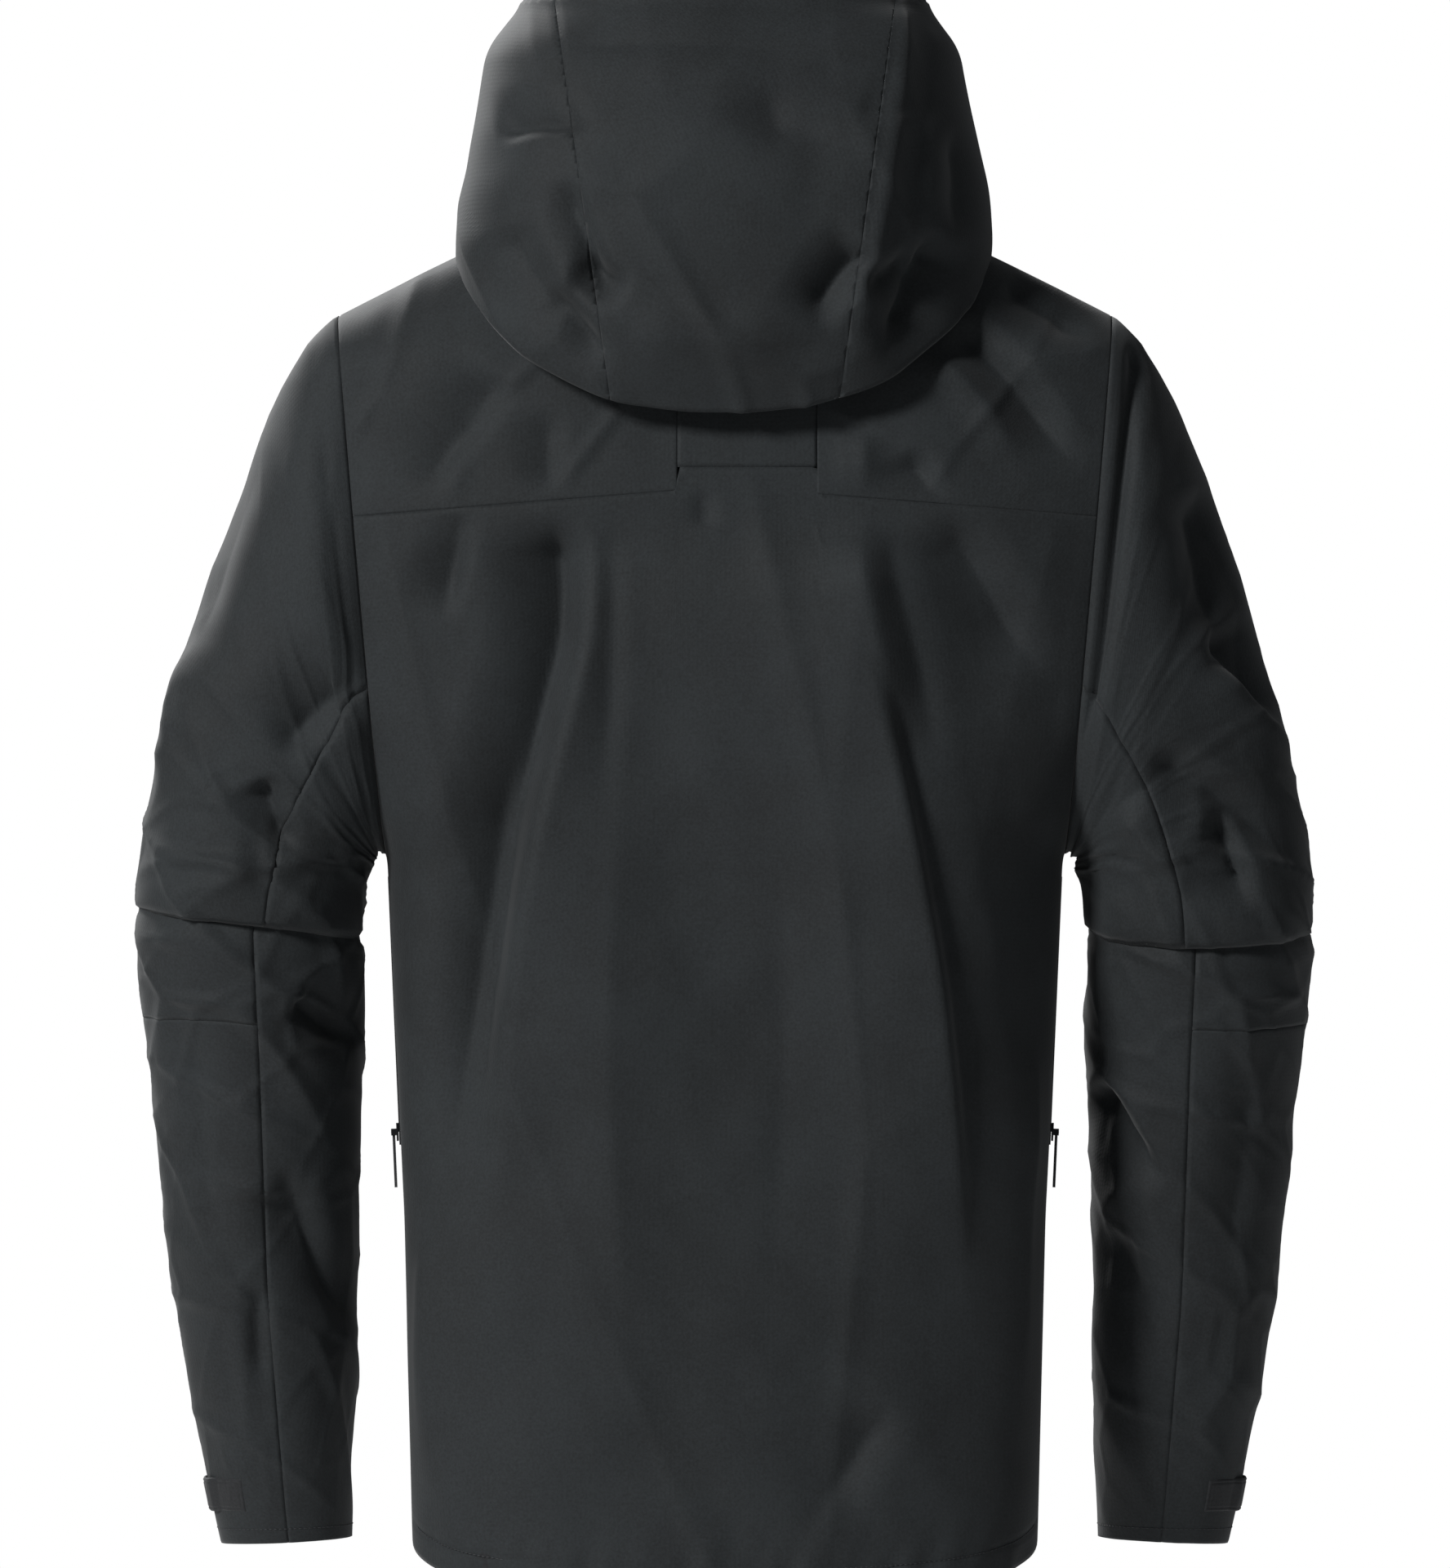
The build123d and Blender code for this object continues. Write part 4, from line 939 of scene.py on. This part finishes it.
def under_lip(angle, at):
    """The forearm's top lies inside the tuck and comes out below it."""
    facing = 0.35 + 0.65 * np.abs(np.sin(angle))
    return -4.0 * facing * np.clip(1 - (at - LIP_AT - 2) / 12, 0, 1) ** 1.2 - 1.0 * (
        at < LIP_AT + 3)


for side, hand in (("left", 1), ("right", -1)):
    centre = np.array([hand * 0.285, -0.09, -0.40])

    upper = lay_cloth(f"upper_sleeve_cloth_{side}", [sleeve_grid(
        hand, 0, LIP_AT, lambda at: -gusset_edge(at), gusset_edge, 118, 122, tuck_lip)],
        centre, shell_cloth)
    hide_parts(f"upper_sleeve_{side}")
    gusset = lay_cloth(f"gusset_cloth_{side}", [sleeve_grid(
        hand, 0, LIP_AT, gusset_edge, lambda at: 2 * math.pi - gusset_edge(at), 64, 60,
        tuck_lip)], centre, shell_cloth)
    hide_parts(f"underarm_gusset_{side}")
    for piece in (upper, gusset):
        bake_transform(piece)

    elbow = lay_cloth(f"elbow_cloth_{side}", [sleeve_grid(
        hand, FORE_AT, DART_AT, turn(-93), turn(93), 80, 32, under_lip)],
        centre, shell_cloth)
    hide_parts(f"elbow_panel_{side}")
    outer_fore = lay_cloth(f"forearm_outer_cloth_{side}", [sleeve_grid(
        hand, DART_AT, CUFF_AT, turn(-93), turn(93), 76, 112,
        seams=lambda s, t: seam_dip(t, 330))], centre, shell_cloth)
    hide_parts(f"forearm_outer_{side}")
    inner_fore = lay_cloth(f"forearm_inner_cloth_{side}", [sleeve_grid(
        hand, FORE_AT, CUFF_AT, turn(93), turn(267), 72, 134, under_lip)],
        centre, shell_cloth)
    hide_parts(f"forearm_inner_{side}")
    for piece in (elbow, outer_fore, inner_fore):
        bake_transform(piece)


# --- Cuffs --------------------------------------------------------------------
# Each cuff has a turned-up facing inside, a loop patch on the sleeve, and a tab of
# doubled shell cloth sewn down behind, whose hook patch closes on the loops.
TAB_LOW_AT, TAB_HIGH_AT = 737.5, 716.5
TAB_SEWN, TAB_FREE = 62.0, -48.0


def plain_finish(name, colour, rough, metal=0.0, scale=600, depth=0.00006, mottle=0.2,
                 ribs=None, coat=0.0, level=0.4):
    """Moulded or cast stuff on Object coordinates: fine grain, wear and soft mottling."""
    material, shader, place = start_finish(name)
    grain = noise(material, place, Scale=scale, Detail=5)
    cloud = noise(material, place, Scale=60, Detail=4)
    base = mottled(material, cloud, colour, mottle, 0.35, 0.70)
    height = grain
    if ribs:
        wave = shader_node(material, "TexWave", Scale=ribs / 20, Distortion=0.3)
        wave.wave_type = "BANDS"
        wave.bands_direction = "Z"
        material.node_tree.links.new(place, wave.inputs["Vector"])
        height = arithmetic(material, "ADD", wave.outputs["Fac"], grain)
    finish_surface(material, shader, base, grain, (rough - 0.1, rough + 0.1), height, 0.5,
                   depth)
    shader.inputs["Metallic"].default_value = metal
    shader.inputs["Specular IOR Level"].default_value = level
    shader.inputs["Coat Weight"].default_value = coat
    return material


trim_cloth = cloth_finish("dark_trim_cloth", (0.009, 0.0095, 0.0105), threads=1600)
tab_cloth = cloth_finish("doubled_tab_cloth", (0.0118, 0.0127, 0.014))
loop_pile = plain_finish("loop_patch_pile", (0.006, 0.006, 0.007), 0.95, scale=1500,
                         depth=0.0005, level=0.1)
hook_face = plain_finish("hook_patch_plastic", (0.008, 0.008, 0.009), 0.6, scale=2400,
                         depth=0.0004)


def cuff_band(name, hand, low_at, high_at, low_deg, high_deg, out, columns, rows, finish,
              thick):
    """A strip round the cuff, standing out from the sleeve's face by out millimetres."""
    return lay_cloth(name, [sleeve_grid(
        hand, low_at, high_at, turn(low_deg), turn(high_deg), columns, rows,
        lambda angle, at: out + 0 * at, edges=False)],
        np.array([hand * 0.275, -0.15, -0.76]), finish, thick=thick)


for side, hand in (("left", 1), ("right", -1)):
    facing = cuff_band(f"cuff_facing_cloth_{side}", hand, 735, CUFF_AT - 1.5, -180, 180,
                       -1.3, 90, 8, trim_cloth, 0.4 * MM)
    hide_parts(f"cuff_facing_{side}")
    loops = cuff_band(f"cuff_loop_pile_{side}", hand, TAB_HIGH_AT + 2, TAB_LOW_AT - 2, -58,
                      20, 0.9, 30, 8, loop_pile, 0.8 * MM)
    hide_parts(f"cuff_loop_patch_{side}")
    for piece in (facing, loops):
        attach(piece, f"forearm_{side}")
    hooks = cuff_band(f"cuff_hook_face_{side}", hand, TAB_HIGH_AT + 2, TAB_LOW_AT - 2, -45,
                      -6, 1.8, 18, 8, hook_face, 0.7 * MM)
    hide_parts(f"cuff_hook_patch_{side}")

    def tab_shape(angle, at):
        """Doubled cloth: a soft middle, turned edges and a row of stitching inside them."""
        across = (at - TAB_HIGH_AT) / (TAB_LOW_AT - TAB_HIGH_AT)
        edge = np.minimum(across, 1 - across) * 21
        ends = np.minimum(np.degrees(angle) - TAB_FREE, TAB_SEWN - np.degrees(angle)) * 0.75
        rim = np.minimum(edge, ends)
        shape = 3.0 - 1.0 * np.exp(-(rim / 0.9) ** 2) - 0.5 * np.exp(-((rim - 2.4) / 0.5) ** 2)
        return shape - 2.2 * np.clip((np.degrees(angle) - 24) / 9, 0, 1)

    tab = lay_cloth(f"cuff_tab_cloth_{side}", [sleeve_grid(
        hand, TAB_HIGH_AT, TAB_LOW_AT, turn(TAB_FREE), turn(TAB_SEWN), 120, 34, tab_shape,
        edges=False)], np.array([hand * 0.275, -0.15, -0.76]), tab_cloth,
        thick=1.0 * MM)
    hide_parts(f"cuff_tab_{side}")
    for piece in (tab, hooks):
        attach(piece, f"cuff_strap_{side}")


# --- Hem facing, tapes and flap -----------------------------------------------
# Inside the shell: a facing turned up at the hem, seam tape under the yoke and down both
# sides, a tape round the neck, the flap behind the main zip and two mesh-lined pockets.
tape_film = cloth_finish("seam_tape_film", (0.030, 0.031, 0.034), threads=900, sheen=0.0,
                         rough=0.55, mottle=0.1)
pocket_cloth = cloth_finish("pocket_lining_cloth", (0.016, 0.017, 0.019), threads=1400)


def inner_strip(name, node, grids, finish):
    """A thin strip inside the shell that stands for one of the CAD's plain strips."""
    strip = lay_cloth(name, grids, np.array([0, -0.068, -0.3]), finish, thick=0.3 * MM)
    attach(strip, "torso")
    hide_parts(node)
    return strip


def under_shell(source, gap=1.5):
    """The same relief as the shell above, set in by the gap, so a strip lies under it."""
    return lambda x, z, s, t: source(x, z, np.full_like(s, 0.5), np.full_like(t, 0.5)) - gap


HEM_FACING = 28.0
inner_strip("hem_facing_cloth", "hem_facing", [
    body_grid(above_hem(back, 2), above_hem(back, HEM_FACING), *sides, back, columns, 8,
              under_shell(relief, 2.2), 0.84)
    for back, sides, columns, relief in (
        (True, (from_side(-1, 1), from_side(1, 1)), 120, back_relief),
        (False, (fixed(18.0), from_side(1, 1)), 60, front_relief(1)),
        (False, (from_side(-1, 1), fixed(-18.0)), 60, front_relief(-1)))],
    trim_cloth)
inner_strip("yoke_seam_tape_film", "yoke_seam_tape", [body_grid(
    lambda x: yoke_line(x, -11.0), lambda x: yoke_line(x, 11.0),
    from_side(-1, 4), from_side(1, 4), True, 110, 8,
    lambda x, z, s, t: -5.0 - 16.0 * np.clip((-z - 158 - 0.078 * np.abs(x)) / 12, 0, 1),
    0.84)],
    tape_film)
for side, hand in (("left", 1), ("right", -1)):
    pair = (from_side(hand, 9.5), from_side(hand, 3.0))[::hand]
    tape = [body_grid(fixed(-788.0), fixed(-565.0), *pair, back, 8, 50,
                      lambda x, z, s, t: -4.5 + 0 * x, 0.5) for back in (True, False)]
    inner_strip(f"side_seam_tape_film_{side}", f"side_seam_tape_{side}", tape, tape_film)
inner_strip("neck_tape_cloth", "neck_tape", [body_grid(
    fixed(-8.0), fixed(18.0),
    fixed(-60.0), fixed(60.0), True, 30, 6,
    lambda x, z, s, t: -3.0 + 0 * x, 0.5)], trim_cloth)
inner_strip("storm_flap_cloth", "storm_flap", [body_grid(
    fixed(-776.0), fixed(-40.0),
    fixed(-16.0), fixed(24.0), False, 12, 90,
    lambda x, z, s, t: -6.0 + 1.2 * np.sin(z / 34) * np.clip(np.abs(x - 4) / 20, 0, 1), 0.3)],
    trim_cloth)
for side, hand in (("left", 1), ("right", -1)):
    sides = sorted((hand * 27.0, hand * 103.0))
    inner_strip(f"pocket_bag_cloth_{side}", f"pocket_bag_{side}", [body_grid(
        fixed(-654.0), fixed(-426.0),
        fixed(sides[0]), fixed(sides[1]),
        False, 30, 70,
        lambda x, z, s, t: -5.0 - 3.4 * np.sin(s * math.pi) * np.sin(t * math.pi)
        + 0.5 * np.sin(z / 9 + x / 7), 0.3)], pocket_cloth)


# --- Stitching ----------------------------------------------------------------
# Lockstitch in matching thread: one row holds up the hem facing, one holds each cuff
# facing, and one runs down either side of the main zip.
STITCH_LONG, STITCH_GAP, STITCH_WIDE, STITCH_HIGH = 2.5, 0.6, 0.55, 0.32
thread_finish = plain_finish("polyester_thread", (0.017, 0.018, 0.020), 0.5, scale=2600,
                             depth=0.0001, level=0.4)


def stitch_row(name, line, centre, body):
    """Short raised stitches along a line of points in metres, lying on the cloth."""
    runs = np.linalg.norm(np.diff(line, axis=0), axis=1)
    along = np.concatenate([[0], np.cumsum(runs)])
    pitch = (STITCH_LONG + STITCH_GAP) * MM
    points, faces = [], []
    for number in range(int(along[-1] / pitch)):
        ends = []
        for at in (number * pitch, number * pitch + STITCH_LONG * MM):
            ends.append(np.array([np.interp(at, along, line[:, k]) for k in range(3)]))
        run = ends[1] - ends[0]
        run /= max(np.linalg.norm(run), 1e-9)
        out = (ends[0] + ends[1]) / 2 - centre
        out[2] = 0
        out -= run * np.dot(out, run)
        out /= np.linalg.norm(out)
        wide = np.cross(out, run) * STITCH_WIDE / 2 * MM
        first = len(points)
        for share, girth in ((0.0, 0.15), (0.2, 1.0), (0.8, 1.0), (1.0, 0.15)):
            middle = ends[0] + (ends[1] - ends[0]) * share - out * 0.1 * MM
            rise = out * STITCH_HIGH * girth * MM
            points += [middle - wide * girth, middle - wide * girth * 0.5 + rise,
                       middle + wide * girth * 0.5 + rise, middle + wide * girth]
        for k in range(3):
            a = first + 4 * k
            for j in range(4):
                faces.append((a + j, a + (j + 1) % 4, a + 4 + (j + 1) % 4, a + 4 + j))
        faces.append((first, first + 3, first + 2, first + 1))
        faces.append((first + 12, first + 13, first + 14, first + 15))
    mesh = bpy.data.meshes.new(name)
    mesh.from_pydata([list(map(float, p)) for p in points], [], faces)
    row = bpy.data.objects.new(name, mesh)
    bpy.context.collection.objects.link(row)
    work = bmesh.new()
    work.from_mesh(mesh)
    bmesh.ops.recalc_face_normals(work, faces=work.faces)
    work.to_mesh(mesh)
    work.free()
    mesh.polygons.foreach_set("use_smooth", [True] * len(mesh.polygons))
    mesh.materials.append(thread_finish)
    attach(row, body)


CUFF_ROW_AT, ZIP_ROW_X, STITCH_HALF = 749.0, 13.0, 0.4
BODY_MIDDLE = np.array([0, -0.068, -0.8])


def hem_share(x, z, back):
    """How far down its panel a point lies, from 0 at the top to 1 at the hem."""
    top = yoke_z(x) if back else FRONT_YOKE_Z
    return 1 - (z - hem_z(x, back)) / (top - hem_z(x, back))


hem_back = body_grid(above_hem(True, HEM_ROW - STITCH_HALF),
                     above_hem(True, HEM_ROW + STITCH_HALF),
                     from_side(-1, 3), from_side(1, 3), True, 400, 3,
                     lambda x, z, s, t: back_relief(x, z, 0.5 + 0 * s, hem_share(x, z, True))
                     + 0.12, 0.84)
stitch_row("hem_stitches_back", hem_back[1], BODY_MIDDLE, "torso")
for side, hand in (("left", 1), ("right", -1)):
    ends = (fixed(hand * 12.0), from_side(hand, 3))[::hand]
    hem_front = body_grid(above_hem(False, HEM_ROW - STITCH_HALF),
                          above_hem(False, HEM_ROW + STITCH_HALF), *ends, False, 220, 3,
                          lambda x, z, s, t, hand=hand: front_relief(hand)(
                              x, z, 0.5 + 0 * s, hem_share(x, z, False)) + 0.05, 0.84)
    stitch_row(f"hem_stitches_front_{side}", hem_front[1], BODY_MIDDLE, "torso")
    beside_zip = body_grid(fixed(-770.0),
                           fixed(FRONT_YOKE_Z - 4),
                           fixed(hand * ZIP_ROW_X - STITCH_HALF),
                           fixed(hand * ZIP_ROW_X + STITCH_HALF), False, 3,
                           300, lambda x, z, s, t, hand=hand: front_relief(hand)(
                               x, z, 0.5 + 0 * s, 0.5 + 0 * t) + 0.05, 0.3)
    stitch_row(f"zip_stitches_{side}", beside_zip[:, 1], BODY_MIDDLE, "torso")
    cuff_line = sleeve_grid(hand, CUFF_ROW_AT - STITCH_HALF, CUFF_ROW_AT + STITCH_HALF,
                            turn(-180), turn(180), 200, 3,
                            lambda angle, at: 0.12 + 0 * at, edges=False)
    stitch_row(f"cuff_stitches_{side}", cuff_line[1],
               np.array([hand * 0.272, -0.152, -0.8]), f"forearm_{side}")


# --- Zips, pulls and small hardware -------------------------------------------
# Film-faced coil zips, cast sliders with moulded pulls, a zip box and a garage. Their
# own shapes are true, so each only gets its finish.
zip_film = plain_finish("film_faced_zip_tape", (0.008, 0.0085, 0.0095), 0.42, scale=900,
                        depth=0.0002, ribs=1100, coat=0.15)
cast_metal = plain_finish("black_cast_slider", (0.012, 0.012, 0.013), 0.38, metal=0.6,
                          scale=700, mottle=0.35)
pull_rubber = plain_finish("moulded_pull_rubber", (0.010, 0.0105, 0.0115), 0.62, scale=1300,
                           ribs=400, depth=0.0002)
brim_cloth = plain_finish("stiffened_brim_cloth", (0.0112, 0.0121, 0.0133), 0.8, scale=1500,
                          ribs=2200, depth=0.00015, level=0.28)
webbing = plain_finish("hang_loop_webbing", (0.010, 0.0105, 0.0115), 0.85, scale=1100,
                       ribs=1200, depth=0.0003, level=0.2)
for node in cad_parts:
    shape = bpy.data.objects.get(node)
    if shape is None or shape.hide_render:
        continue
    if "pull" in node:
        finish = pull_rubber
    elif "slider" in node or node == "zip_box":
        finish = cast_metal
    elif "zip" in node:
        finish = zip_film
    elif node == "hood_brim":
        finish = brim_cloth
    elif node == "hang_loop":
        finish = webbing
    else:
        finish = trim_cloth
    for place in shape.material_slots:
        place.material = finish


# --- Studio -------------------------------------------------------------------
# A pale floor well below the hem and soft light, brightest from high on the left.
FLOOR_Z = -1.5
FILL_STRENGTH = 0.165
bpy.ops.object.select_all(action="DESELECT")
bpy.ops.mesh.primitive_plane_add(size=5.0, location=(0, 0, FLOOR_Z))
floor = bpy.context.object
floor.name = floor.data.name = "studio_floor"
for vertex in floor.data.vertices:
    vertex.co.z += FLOOR_Z
floor.location = (0, 0, 0)
floor_paint = bpy.data.materials.new("pale_floor_paint")
floor_paint.use_nodes = True
floor_paint.node_tree.nodes["Principled BSDF"].inputs["Base Color"].default_value = (
    0.72, 0.72, 0.72, 1)
floor_paint.node_tree.nodes["Principled BSDF"].inputs["Roughness"].default_value = 0.9
floor.data.materials.append(floor_paint)

world = bpy.data.worlds.new("pale_studio")
bpy.context.scene.world = world
world.use_nodes = True
sky = world.node_tree
backdrop = sky.nodes["Background"]
backdrop.inputs["Color"].default_value = (1, 1, 1, 1)
backdrop.inputs["Strength"].default_value = 1.0
fill = sky.nodes.new("ShaderNodeBackground")
fill.inputs["Color"].default_value = (0.94, 0.97, 1, 1)
fill.inputs["Strength"].default_value = FILL_STRENGTH
seen = sky.nodes.new("ShaderNodeLightPath")
choice = sky.nodes.new("ShaderNodeMixShader")
sky.links.new(seen.outputs["Is Camera Ray"], choice.inputs["Fac"])
sky.links.new(fill.outputs["Background"], choice.inputs[1])
sky.links.new(backdrop.outputs["Background"], choice.inputs[2])
sky.links.new(choice.outputs["Shader"], sky.nodes["World Output"].inputs["Surface"])
bpy.context.scene.view_settings.view_transform = "Standard"

for name, place, size, power in (("key_light", (3.2, 3.2, 2.0), 1.0, 320),
                                 ("front_light", (2.0, -3.4, 2.2), 1.6, 260)):
    lamp = bpy.data.lights.new(name, "AREA")
    lamp.energy = power
    lamp.size = size
    light = bpy.data.objects.new(name, lamp)
    bpy.context.collection.objects.link(light)
    light.location = place
    aim = Vector((0, -0.05, -0.35)) - Vector(place)
    light.rotation_euler = aim.to_track_quat("-Z", "Y").to_euler()
